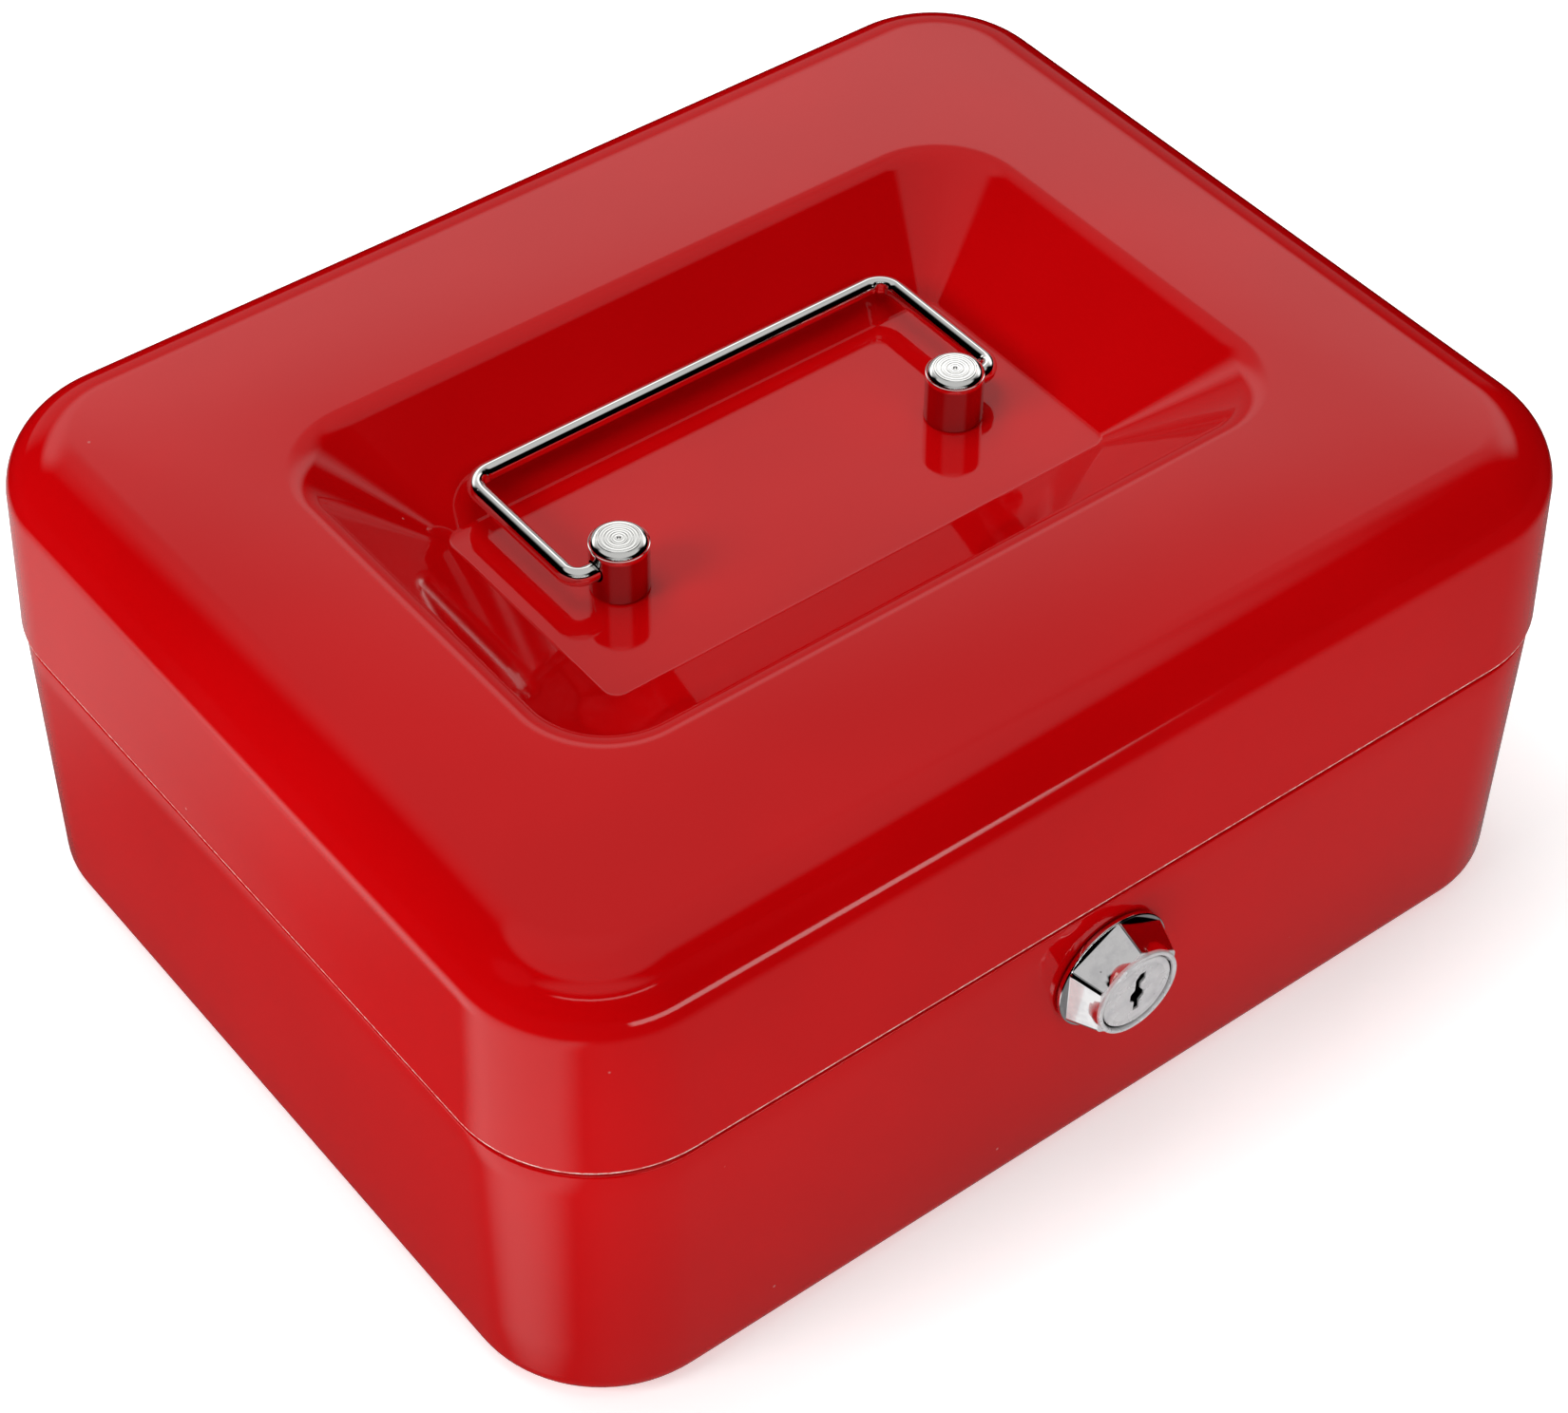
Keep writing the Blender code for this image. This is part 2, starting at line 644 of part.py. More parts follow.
def keyway_outline():
    """A warded slot: upper and lower limbs side by side, joined by a step in the middle."""
    half = KEYWAY_WIDTH / 2
    step = KEYWAY_STEP
    top = KEYWAY_HALF_HEIGHT
    return [
        (-half, -top), (half, -top), (half, -top * 0.55), (half + step, -top * 0.35),
        (half + step, -half), (half, half), (half, top * 0.45), (half + step, top * 0.6),
        (half + step, top), (step - half, top), (-half, top * 0.75), (-half, top * 0.2),
        (-half - step, 0.0), (-half - step, -top * 0.35), (-half, -top * 0.5),
    ]


def make_lock_plug():
    head_rear = HEAD_BORE_END_Y - GAP
    tang_end = CAM_Y + CAM_THICKNESS / 2 - GAP
    # Heights run from the plug's front face back, along +Y.
    profile = [
        (0.0, -PLUG_FRONT_Y),
        (PLUG_HEAD_RADIUS - GAP, -PLUG_FRONT_Y),
        (PLUG_HEAD_RADIUS, -PLUG_FRONT_Y - GAP),
        (PLUG_HEAD_RADIUS, -head_rear),
        (PLUG_RADIUS, -head_rear),
        (PLUG_RADIUS, -BARREL_END_Y),
        (TANG_RADIUS, -BARREL_END_Y),
        (TANG_RADIUS, -tang_end),
        (0.0, -tang_end),
    ]
    place = Matrix.Translation((0, 0, LOCK_Z)) @ Matrix.Rotation(QUARTER_TURN, 4, "X")
    plug = turned("lock_plug", profile, chrome, place)
    for side, x in (("left", -1), ("right", 1)):
        edges = sorted((x * TANG_FLAT, x * 2 * TANG_RADIUS))
        cut(plug, box(f"tang_flat_{side}", (edges[0], BARREL_END_Y + GAP, LOCK_Z - 2 * TANG_RADIUS),
                      (edges[1], tang_end + GAP, LOCK_Z + 2 * TANG_RADIUS)))
    screw_hole = rod("screw_hole", lock_point(tang_end + GAP), lock_point(tang_end - SCREW_DEPTH),
                     SCREW_RADIUS + GAP, sides=16)
    depth = KEYWAY_END_Y - PLUG_FRONT_Y + GAP
    keyway_place = Matrix.Translation(lock_point(PLUG_FRONT_Y - GAP + depth / 2))
    keyway_place = keyway_place @ Matrix.Rotation(QUARTER_TURN, 4, "X")
    keyway = solid_from_curve("keyway", flat_curve("keyway", [keyway_outline()], depth), keyway_place)
    cut(plug, screw_hole, keyway)
    for index, y in enumerate(wafer_places(), start=1):
        half_x, half_y = WAFER_SIZE.x / 2 + GAP, WAFER_THICKNESS / 2 + GAP
        cut(plug, box(f"wafer_slot_{index}", (-half_x, y - half_y, LOCK_Z - 2 * PLUG_RADIUS),
                      (half_x, y + half_y, LOCK_Z + 2 * PLUG_RADIUS)))
    return plug


def wafer_places():
    return [WAFER_FIRST_Y + i * WAFER_PITCH for i in range(WAFERS)]


def make_wafers():
    wafers = []
    outer = rectangle(*(WAFER_SIZE / 2))
    window = rectangle(*(WAFER_WINDOW / 2))
    for index, y in enumerate(wafer_places(), start=1):
        place = Matrix.Translation(lock_point(y)) @ Matrix.Rotation(QUARTER_TURN, 4, "X")
        wafers.append(plate(f"lock_wafer_{index}", [outer, window], WAFER_THICKNESS, place, brass))
    return wafers


def make_cam():
    """A flat cam: round hub with a double-D hole, and a straight arm with a round end."""
    reach = CAM_LENGTH - CAM_HALF_WIDTH
    join_angle = math.asin(CAM_HALF_WIDTH / CAM_HUB_RADIUS)
    outline = arc((0, reach), CAM_HALF_WIDTH, 0.0, HALF_TURN, 8)
    outline += arc((0, 0), CAM_HUB_RADIUS, QUARTER_TURN + join_angle, 5 * QUARTER_TURN - join_angle, 16)
    flat_angle = math.acos((TANG_FLAT + GAP) / (TANG_RADIUS + GAP))
    hole = arc((0, 0), TANG_RADIUS + GAP, flat_angle, HALF_TURN - flat_angle, 6)
    hole += arc((0, 0), TANG_RADIUS + GAP, HALF_TURN + flat_angle, 2 * HALF_TURN - flat_angle, 6)
    place = Matrix.Translation(lock_point(CAM_Y)) @ Matrix.Rotation(QUARTER_TURN, 4, "X")
    return plate("lock_cam", [outline, hole], CAM_THICKNESS, place, zinc_steel)


def make_cam_fixing():
    """Toothed washer and pan-head screw that hold the cam on the plug's tang."""
    washer_front = CAM_Y + CAM_THICKNESS / 2 + GAP
    washer_rear = washer_front + STAR_WASHER_THICKNESS
    head_front = washer_rear + GAP
    head_rear = head_front + SCREW_HEAD_HEIGHT
    place = Matrix.Translation((0, 0, LOCK_Z)) @ Matrix.Rotation(-QUARTER_TURN, 4, "X")
    inner = SCREW_RADIUS + GAP
    washer = turned("cam_washer", [
        (inner, washer_rear), (STAR_WASHER_RADIUS, washer_rear),
        (STAR_WASHER_RADIUS, washer_front), (inner, washer_front)], zinc_steel, place, closed=True)
    tip = CAM_Y + CAM_THICKNESS / 2 - SCREW_DEPTH + GAP
    screw = turned("cam_screw", [
        (0.0, head_rear), (SCREW_HEAD_RADIUS * 0.7, head_rear),
        (SCREW_HEAD_RADIUS, head_rear - SCREW_HEAD_HEIGHT / 2), (SCREW_HEAD_RADIUS, head_front),
        (SCREW_RADIUS, head_front), (SCREW_RADIUS, tip), (0.0, tip)], zinc_steel, place)
    slot_half = SCREW_RADIUS / 4
    slot = box("screw_slot", (-2 * SCREW_HEAD_RADIUS, head_rear - SCREW_HEAD_HEIGHT / 3, LOCK_Z - slot_half),
               (2 * SCREW_HEAD_RADIUS, head_rear + GAP, LOCK_Z + slot_half))
    cut(screw, slot)
    return [washer, screw]


def make_strike():
    """Bent strip: welded tab on the lid's front wall, shelf, hanging plate and a hooked lip."""
    tab_y = -HALF_DEPTH + lid_wall_inset(STRIKE_TOP_Z) + SHEET + GAP + STRIKE_THICKNESS / 2
    path = [
        (tab_y, STRIKE_TOP_Z), (tab_y, STRIKE_SHELF_Z), (STRIKE_PLATE_Y, STRIKE_SHELF_Z),
        (STRIKE_PLATE_Y, STRIKE_LIP_Z), (STRIKE_LIP_Y, STRIKE_LIP_Z),
    ]
    bm = bmesh.new()
    sides = [[bm.verts.new((x, y, z)) for y, z in path]
             for x in (STRIKE_X - STRIKE_HALF_WIDTH, STRIKE_X + STRIKE_HALF_WIDTH)]
    for i in range(len(path) - 1):
        bm.faces.new((sides[0][i], sides[0][i + 1], sides[1][i + 1], sides[1][i]))
    strike = add_object("lock_strike", finish_mesh(bm, "lock_strike"), zinc_steel)
    solidify(strike, STRIKE_THICKNESS, offset=0.0)
    return strike


# ---------------------------------------------------------------- coin tray

def cup_cutter(name, low, high, floor_z):
    """A pocket with round corners and a round foot, open at the top."""
    half_x, half_y = (high[0] - low[0]) / 2, (high[1] - low[1]) / 2
    centre_x, centre_y = (high[0] + low[0]) / 2, (high[1] + low[1]) / 2
    top_z = NECK_TOP_Z + GAP + TRAY_FLANGE_THICKNESS + SHEET
    rings = []
    for inset, drop in reversed(quarter_profile(CUP_FOOT, 3)):
        rings.append((inset, floor_z + CUP_FOOT - drop))
    rings += [(0.0, floor_z + CUP_FOOT), (0.0, top_z)]
    return loft(name, [rounded_ring(half_x - inset, half_y - inset, CUP_CORNER - inset, z, centre_x, centre_y)
                       for inset, z in rings], True, True)


def make_coin_tray():
    """One moulding: four coin cups in front, a note well behind, flanges that rest on the neck."""
    flange_z = NECK_TOP_Z + GAP
    top_z = flange_z + TRAY_FLANGE_THICKNESS
    centre_y = (TRAY_FRONT_Y + TRAY_REAR_Y) / 2
    half_y = (TRAY_REAR_Y - TRAY_FRONT_Y) / 2
    sections = [
        (TRAY_HALF_WIDTH - TRAY_DRAFT, half_y - TRAY_DRAFT, TRAY_CORNER - TRAY_DRAFT, TRAY_BOTTOM_Z),
        (TRAY_HALF_WIDTH, half_y, TRAY_CORNER, flange_z),
        (TRAY_FLANGE_HALF_WIDTH, half_y + TRAY_FLANGE_OUT_Y, TRAY_CORNER + TRAY_FLANGE_OUT_Y, flange_z),
        (TRAY_FLANGE_HALF_WIDTH, half_y + TRAY_FLANGE_OUT_Y, TRAY_CORNER + TRAY_FLANGE_OUT_Y, top_z),
    ]
    rings = [rounded_ring(half_x, depth, radius, z, centre_y=centre_y)
             for half_x, depth, radius, z in sections]
    tray = loft("coin_tray", rings, True, True, black_plastic)
    floor_z = TRAY_BOTTOM_Z + TRAY_FLOOR
    inner_x = TRAY_HALF_WIDTH - TRAY_DRAFT - TRAY_WALL
    front_y = TRAY_FRONT_Y + TRAY_DRAFT + TRAY_WALL
    rear_y = TRAY_REAR_Y - TRAY_DRAFT - TRAY_WALL
    pitch = (2 * inner_x + TRAY_WALL) / TRAY_CUPS
    for index in range(TRAY_CUPS):
        low_x = -inner_x + index * pitch
        cut(tray, cup_cutter(f"coin_cup_{index + 1}", (low_x, front_y),
                             (low_x + pitch - TRAY_WALL, TRAY_DIVIDER_Y), floor_z))
    cut(tray, cup_cutter("note_well", (-inner_x, TRAY_DIVIDER_Y + TRAY_WALL), (inner_x, rear_y), floor_z))
    for side, x in (("left", -1), ("right", 1)):
        edge = x * (TRAY_FLANGE_HALF_WIDTH + FINGER_NOTCH_RADIUS - TRAY_FLANGE_HALF_WIDTH + TRAY_HALF_WIDTH)
        cut(tray, rod(f"finger_notch_{side}", (edge, centre_y, flange_z - SHEET),
                      (edge, centre_y, top_z + SHEET), FINGER_NOTCH_RADIUS))
    return tray


# ---------------------------------------------------------------- assembly

def build():
    clear_scene()
    make_box_body()
    hinge_lid_pieces = make_hinge()[2]
    lid_pieces = [make_lid_shell(), make_strike()] + hinge_lid_pieces
    lid_pieces += make_post("left", -POST_X) + make_post("right", POST_X)
    hang(lid_pieces, axis_empty("lid_axis", (0, HINGE_Y, SEAM_Z)))
    make_bail()
    make_lock_housing()
    make_lock_nut()
    lock_pieces = [make_lock_plug(), make_cam()] + make_cam_fixing() + make_wafers()
    hang(lock_pieces, axis_empty("lock_axis", lock_point(LOCK_WALL_Y)))
    hang([make_coin_tray()], axis_empty("tray_axis", (0, 0, TRAY_BOTTOM_Z)))


build()
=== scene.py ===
"""Looks of the lockable steel cash box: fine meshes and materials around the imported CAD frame."""

import json
import math

import bmesh
import bpy
from mathutils import Matrix, Vector

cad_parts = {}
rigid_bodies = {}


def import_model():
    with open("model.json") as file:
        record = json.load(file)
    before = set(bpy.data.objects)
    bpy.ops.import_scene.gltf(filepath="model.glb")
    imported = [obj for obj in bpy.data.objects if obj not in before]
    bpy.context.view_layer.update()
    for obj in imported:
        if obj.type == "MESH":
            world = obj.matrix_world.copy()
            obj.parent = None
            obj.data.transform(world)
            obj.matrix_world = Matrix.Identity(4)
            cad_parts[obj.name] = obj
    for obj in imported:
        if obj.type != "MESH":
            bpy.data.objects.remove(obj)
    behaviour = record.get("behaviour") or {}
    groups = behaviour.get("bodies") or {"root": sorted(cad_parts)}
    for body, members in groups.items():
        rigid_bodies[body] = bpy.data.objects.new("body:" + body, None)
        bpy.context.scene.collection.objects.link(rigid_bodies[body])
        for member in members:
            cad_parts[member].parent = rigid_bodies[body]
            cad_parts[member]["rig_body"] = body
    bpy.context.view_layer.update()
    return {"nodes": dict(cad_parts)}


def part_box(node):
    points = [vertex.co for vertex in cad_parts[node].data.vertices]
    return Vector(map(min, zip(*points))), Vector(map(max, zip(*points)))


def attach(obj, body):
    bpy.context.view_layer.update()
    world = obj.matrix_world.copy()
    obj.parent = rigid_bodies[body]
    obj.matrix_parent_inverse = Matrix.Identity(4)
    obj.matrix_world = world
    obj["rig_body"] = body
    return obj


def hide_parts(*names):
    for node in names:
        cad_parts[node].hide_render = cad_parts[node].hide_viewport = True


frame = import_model()
NODES = frame["nodes"]

QUARTER_TURN = math.pi / 2
FULL_TURN = 2 * math.pi
SHARP_ANGLE = math.radians(32)
TURN_STEPS = 96
CORNER_STEPS = 20

# Driving places, read from the frame
LID_LOW, LID_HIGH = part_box("lid_shell")
BODY_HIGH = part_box("box_body")[1]
TRAY_LOW, TRAY_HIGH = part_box("coin_tray")
POST_LOW, POST_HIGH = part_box("handle_post_right")
BAIL_LOW, BAIL_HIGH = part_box("handle_bail")
LOCK_LOW, LOCK_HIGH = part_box("lock_housing")
PLUG_LOW, PLUG_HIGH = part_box("lock_plug")
PIN_LOW, PIN_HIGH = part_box("hinge_pin")

GAP = 0.0003
SHEET = 0.0008

# Shells
HALF_WIDTH = LID_HIGH.x
HALF_DEPTH = -LID_LOW.y
TOP_Z = LID_HIGH.z
SEAM_Z = LID_LOW.z
PLAN_RADIUS = 0.0233
ROLL_RADIUS = 0.0112
LID_DRAFT = 0.0010
BODY_INSET = HALF_WIDTH - BODY_HIGH.x
BODY_DRAFT = 0.0007
FLOOR_RADIUS = 0.0040
NECK_INSET = 0.0015
SHOULDER_DROP = 0.0010
HEM_RADIUS = 0.00025
EDGE_HEIGHT = 0.00042

# Handle well
WELL_FLOOR_Z = 0.0757
WELL_HALF = Vector((0.0475, 0.0218))
WELL_FLOOR_Y = 0.0005
WELL_RIM_Y = -0.0002
WELL_CORNER = 0.0025
WELL_CORNER_GROWTH = 0.62
WELL_SLOPE = math.radians(37)
WELL_RIM_RADIUS = 0.006
WELL_FOOT_RADIUS = 0.0012

# Posts and bail
POST_RADIUS = (POST_HIGH.x - POST_LOW.x) / 2
POST_X = (POST_HIGH.x + POST_LOW.x) / 2
POST_Y = (POST_HIGH.y + POST_LOW.y) / 2
POST_FOOT_Z = WELL_FLOOR_Z + 0.00005
CAP_FLAT = 0.0034
CAP_RINGS = (0.0013, 0.0022, 0.0030)
CAP_RING_DEPTH = 0.00003
CAP_RING_HALF_WIDTH = 0.00004
# depth below the post top where the painted shade on the flanks starts
SHADED_FLANK_DEPTH = 0.0014
WIRE_RADIUS = (BAIL_HIGH.z - BAIL_LOW.z) / 2
PIVOT_Z = (BAIL_HIGH.z + BAIL_LOW.z) / 2
BAIL_HALF_WIDTH = BAIL_HIGH.x - WIRE_RADIUS
BAIL_REACH = BAIL_HIGH.y - WIRE_RADIUS - POST_Y
BAIL_BEND = 0.0036
BAIL_END_BEND = 0.0026
BAIL_END_X = 0.0332

# Lock, along Y
LOCK_Z = (LOCK_LOW.z + LOCK_HIGH.z) / 2
LOCK_WALL_Y = -0.07985
FLANGE_RADIUS = 0.0104
BEZEL_BASE_Y = LOCK_WALL_Y - 0.0009
BEZEL_FRONT_Y = -0.0859
BEZEL_BASE_RADIUS = 0.0103
BEZEL_FRONT_RADIUS = 0.0083
RIM_RADIUS = 0.0076
RIM_FRONT_Y = LOCK_LOW.y
BARREL_RADIUS = 0.0080
BARREL_END_Y = LOCK_HIGH.y
HEAD_BORE_RADIUS = 0.00685
HEAD_BORE_END_Y = -0.0840
PLUG_BORE_RADIUS = 0.0058
PLUG_HEAD_RADIUS = 0.0065
PLUG_FRONT_Y = PLUG_LOW.y
PLUG_RADIUS = 0.0055
KEYWAY_END_Y = -0.0735

# Hinge
HINGE_Y = (PIN_LOW.y + PIN_HIGH.y) / 2
HINGE_HALF_LENGTH = PIN_HIGH.x
KNUCKLES = 5
KNUCKLE_RADIUS = 0.0020
KNUCKLE_BORE = 0.00125
LEAF_THICKNESS = 0.0008
LEAF_HEIGHT = 0.0155
LEAF_CLEARANCE = 0.0023
RIVET_SPACING = 0.030
RIVET_HEAD_RADIUS = 0.0027
RIVET_HEAD_HEIGHT = 0.0008
RIVET_RADIUS = 0.0015
BODY_RIVET_Z = 0.0440
LID_RIVET_Z = 0.0668

# Tray
TRAY_WALL = 0.0018
TRAY_FLOOR = 0.0016
TRAY_DRAFT = 0.0015
TRAY_FOOT = 0.0020
TRAY_HALF_WIDTH = 0.0955
TRAY_FRONT_Y = -0.0615
TRAY_REAR_Y = 0.0755
TRAY_FLANGE_OUT_Y = 0.0016
TRAY_FLANGE_THICKNESS = 0.0015
TRAY_CORNER = 0.0200
TRAY_DIVIDER_Y = 0.0255
TRAY_CUPS = 4
CUP_CORNER = 0.0170
CUP_FOOT = 0.0050
CUP_LIP = 0.0006
NOTCH_RADIUS = 0.0100


# ---------------------------------------------------------------- node materials

class Graph:
    """A material's node tree, built by calls."""

    def __init__(self, name):
        self.material = bpy.data.materials.new(name)
        self.material.use_nodes = True
        self.tree = self.material.node_tree
        self.shader = self.tree.nodes["Principled BSDF"]
        self.place = self.add("ShaderNodeTexCoord").outputs["Object"]

    def add(self, kind, inputs=(), **settings):
        node = self.tree.nodes.new(kind)
        for key, value in settings.items():
            setattr(node, key, value)
        for key, value in dict(inputs).items():
            self.set(node.inputs[key], value)
        return node

    def set(self, socket, value):
        if isinstance(value, bpy.types.NodeSocket):
            self.tree.links.new(value, socket)
        else:
            socket.default_value = value

    def shade(self, **inputs):
        for key, value in inputs.items():
            self.set(self.shader.inputs[key.replace("_", " ")], value)

    def noise(self, scale, detail=2.0, roughness=0.5, place=None):
        node = self.add("ShaderNodeTexNoise", {
            "Vector": place or self.place, "Scale": scale, "Detail": detail, "Roughness": roughness})
        return node.outputs["Fac"]

    def stretched(self, scale):
        """Object coordinates scaled per axis."""
        return self.add("ShaderNodeMapping", {"Vector": self.place, "Scale": scale}).outputs["Vector"]

    def ramp(self, value, low, high, out_low=0.0, out_high=1.0):
        node = self.add("ShaderNodeMapRange", {
            "Value": value, "From Min": low, "From Max": high, "To Min": out_low, "To Max": out_high},
            interpolation_type="SMOOTHSTEP")
        return node.outputs["Result"]

    def math(self, operation, first, second=0.0):
        node = self.add("ShaderNodeMath", {0: first, 1: second}, operation=operation)
        return node.outputs["Value"]

    def blend_colors(self, share, first, second):
        node = self.add("ShaderNodeMixRGB", {"Fac": share, "Color1": first, "Color2": second})
        return node.outputs["Color"]

    def bump(self, *layers):
        """Bump from (height, distance) layers, one on the other."""
        normal = None
        for height, distance in layers:
            inputs = {"Height": height, "Distance": distance, "Strength": 1.0}
            if normal is not None:
                inputs["Normal"] = normal
            normal = self.add("ShaderNodeBump", inputs).outputs["Normal"]
        self.set(self.shader.inputs["Normal"], normal)

    def worn_edges(self, low=0.53, high=0.60):
        pointed = self.add("ShaderNodeNewGeometry").outputs["Pointiness"]
        return self.ramp(pointed, low, high)

    def specks(self, scale, size, share):
        """Sparse round specks: one in a share of the cells of a cell pattern."""
        cells = self.add("ShaderNodeTexVoronoi", {"Vector": self.place, "Scale": scale})
        chosen = self.math("GREATER_THAN", self.add(
            "ShaderNodeSeparateColor", {"Color": cells.outputs["Color"]}).outputs["Red"], 1.0 - share)
        near = self.ramp(cells.outputs["Distance"], size, size * 0.4)
        return self.math("MULTIPLY", chosen, near)


def color(red, green, blue):
    return (red, green, blue, 1.0)


def red_paint():
    """Glossy red powder coat: faint orange peel, long waves, dust specks and light rubbing."""
    g = Graph("red_paint")
    cloud = g.noise(14.0, 3.0)
    base = g.blend_colors(g.ramp(cloud, 0.35, 0.65), color(0.520, 0.0008, 0.0018), color(0.570, 0.0012, 0.0024))
    edge = g.math("MULTIPLY", g.worn_edges(0.56, 0.68), g.ramp(g.noise(260.0, 3.0), 0.42, 0.62))
    base = g.blend_colors(g.math("MULTIPLY", edge, 0.35), base, color(0.60, 0.060, 0.055))
    dust = g.specks(420.0, 0.14, 0.006)
    base = g.blend_colors(g.math("MULTIPLY", dust, 0.5), base, color(0.62, 0.30, 0.28))
    smudge = g.ramp(g.noise(38.0, 4.0, 0.6), 0.50, 0.78, 0.0, 0.035)
    hairline = g.ramp(g.noise(30.0, 2.0, 0.7, g.stretched((9.0, 1.0, 9.0))), 0.66, 0.78, 0.0, 0.05)
    rough = g.math("ADD", g.math("ADD", smudge, hairline), g.math("MULTIPLY", dust, 0.3))
    g.shade(Base_Color=base, Roughness=g.math("ADD", rough, 0.055), IOR=1.40)
    g.bump((g.noise(22.0, 1.0), 0.00005), (g.noise(520.0, 2.0), 0.0000022),
           (g.noise(2600.0, 1.0), 0.0000004), (dust, 0.00002))
    return g.material


def bare_edge_and_painted_highlight():
    """The cut edge of the painted sheet: thin paint over bright steel, its pale pink also a painted highlight
    standing in for the catch light along the seam.
    """
    g = Graph("cut_edge_painted_highlight")
    # pale pink mixed in: partly bare steel through thin paint, partly a painted highlight along the seam
    wear_and_highlight = g.ramp(g.noise(900.0, 3.0), 0.40, 0.60)
    g.shade(Base_Color=g.blend_colors(wear_and_highlight, color(0.80, 0.20, 0.18), color(0.95, 0.62, 0.56)),
            Metallic=g.math("MULTIPLY", wear_and_highlight, 0.15), Roughness=g.ramp(g.noise(1400.0), 0.3, 0.7, 0.22, 0.40))
    g.bump((g.noise(1800.0, 2.0), 0.000006))
    return g.material


def chrome(name, rings=None, shaded_below=None):
    """Bright plate with a faint haze and fine scratches; turned pieces have tool rings, and their flanks a
    darker base colour as painted shade.
    """
    g = Graph(name)
    haze = g.ramp(g.noise(120.0, 4.0, 0.6), 0.40, 0.75, 0.0, 0.06)
    scratch = g.ramp(g.noise(60.0, 3.0, 0.75, g.stretched((1.0, 22.0, 22.0))), 0.62, 0.76, 0.0, 0.10)
    pits = g.specks(900.0, 0.2, 0.02)
    tone = g.blend_colors(g.ramp(g.noise(50.0, 2.0), 0.3, 0.7),
                          color(0.86, 0.86, 0.85), color(0.93, 0.93, 0.91))
    tone = g.blend_colors(g.math("MULTIPLY", pits, 0.6), tone, color(0.25, 0.23, 0.22))
    if shaded_below is not None:
        level = g.add("ShaderNodeSeparateXYZ", {"Vector": g.place}).outputs["Z"]
        # painted shade: the flanks below the cap get a darker base colour
        tone = g.blend_colors(g.ramp(level, shaded_below, shaded_below - 0.0003), tone, color(0.50, 0.49, 0.49))
    g.shade(Base_Color=tone, Metallic=1.0, Roughness=g.math("ADD", g.math("ADD", haze, scratch), 0.05))
    layers = [(g.noise(700.0, 2.0), 0.0000025), (pits, 0.00001)]
    if rings:
        layers.append(rings(g))
    g.bump(*layers)
    return g.material


def turning_rings(axis_points, pitch, distance, across):
    """Concentric tool marks round each of several parallel axes; across names the two axes they lie in."""
    def layer(g):
        apart = g.add("ShaderNodeSeparateXYZ", {"Vector": g.place})
        radius = None
        for point in axis_points:
            squares = [g.math("POWER", g.math("SUBTRACT", apart.outputs[name], offset), 2.0)
                       for name, offset in zip(across, point)]
            found = g.math("SQRT", g.math("ADD", *squares))
            radius = found if radius is None else g.math("MINIMUM", radius, found)
        jitter = g.math("MULTIPLY", g.noise(500.0, 2.0), pitch * 0.5)
        turns = g.math("DIVIDE", g.math("ADD", radius, jitter), pitch / FULL_TURN)
        return g.math("SINE", turns), distance
    return layer


def lock_plate():
    """Mirror plate on the flats, satin on the rim and the plug's face, with tool rings there."""
    g = Graph("lock_plate")
    level = g.add("ShaderNodeSeparateXYZ", {"Vector": g.place}).outputs["Y"]
    satin = g.ramp(level, BEZEL_FRONT_Y + 0.00025, BEZEL_FRONT_Y)
    haze = g.ramp(g.noise(140.0, 4.0, 0.6), 0.40, 0.75, 0.0, 0.05)
    cloud = g.ramp(g.noise(420.0, 3.0, 0.6), 0.38, 0.70)
    tone = g.blend_colors(cloud, color(0.90, 0.89, 0.90), color(0.78, 0.77, 0.79))
    pits = g.specks(1100.0, 0.2, 0.03)
    tone = g.blend_colors(g.math("MULTIPLY", pits, 0.5), tone, color(0.25, 0.23, 0.22))
    rough = g.math("ADD", g.math("MULTIPLY", satin, 0.22), g.math("ADD", haze, 0.04))
    g.shade(Base_Color=tone, Metallic=g.ramp(satin, 0.0, 1.0, 1.0, 0.35), Roughness=rough)
    height, distance = turning_rings([(0.0, LOCK_Z)], 0.0004, 0.0000030, ("X", "Z"))(g)
    g.bump((g.noise(700.0, 2.0), 0.0000020), (pits, 0.00001), (g.math("MULTIPLY", height, satin), distance))
    return g.material


def zinc_steel():
    """Zinc plate: dull, slightly bluish, with a soft spangle and handling marks."""
    g = Graph("zinc_steel")
    cells = g.add("ShaderNodeTexVoronoi", {"Vector": g.place, "Scale": 420.0})
    tint = g.add("ShaderNodeSeparateColor", {"Color": cells.outputs["Color"]}).outputs["Green"]
    tone = g.blend_colors(tint, color(0.46, 0.47, 0.49), color(0.60, 0.61, 0.62))
    stain = g.ramp(g.noise(90.0, 4.0, 0.6), 0.48, 0.72)
    tone = g.blend_colors(g.math("MULTIPLY", stain, 0.35), tone, color(0.42, 0.38, 0.30))
    tone = g.blend_colors(g.worn_edges(), tone, color(0.72, 0.72, 0.71))
    g.shade(Base_Color=tone, Metallic=1.0, Roughness=g.ramp(g.noise(240.0, 3.0), 0.3, 0.7, 0.26, 0.44))
    g.bump((g.noise(1100.0, 3.0), 0.000008),
           (g.noise(120.0, 2.0, 0.6, g.stretched((1.0, 14.0, 14.0))), 0.000006))
    return g.material


def brass():
    """Stamped brass with a light tarnish."""
    g = Graph("brass")
    tarnish = g.ramp(g.noise(300.0, 4.0, 0.6), 0.42, 0.70)
    tone = g.blend_colors(tarnish, color(0.76, 0.55, 0.23), color(0.50, 0.33, 0.13))
    g.shade(Base_Color=tone, Metallic=1.0, Roughness=g.ramp(tarnish, 0.0, 1.0, 0.24, 0.42))
    g.bump((g.noise(1500.0, 2.0), 0.000005))
    return g.material


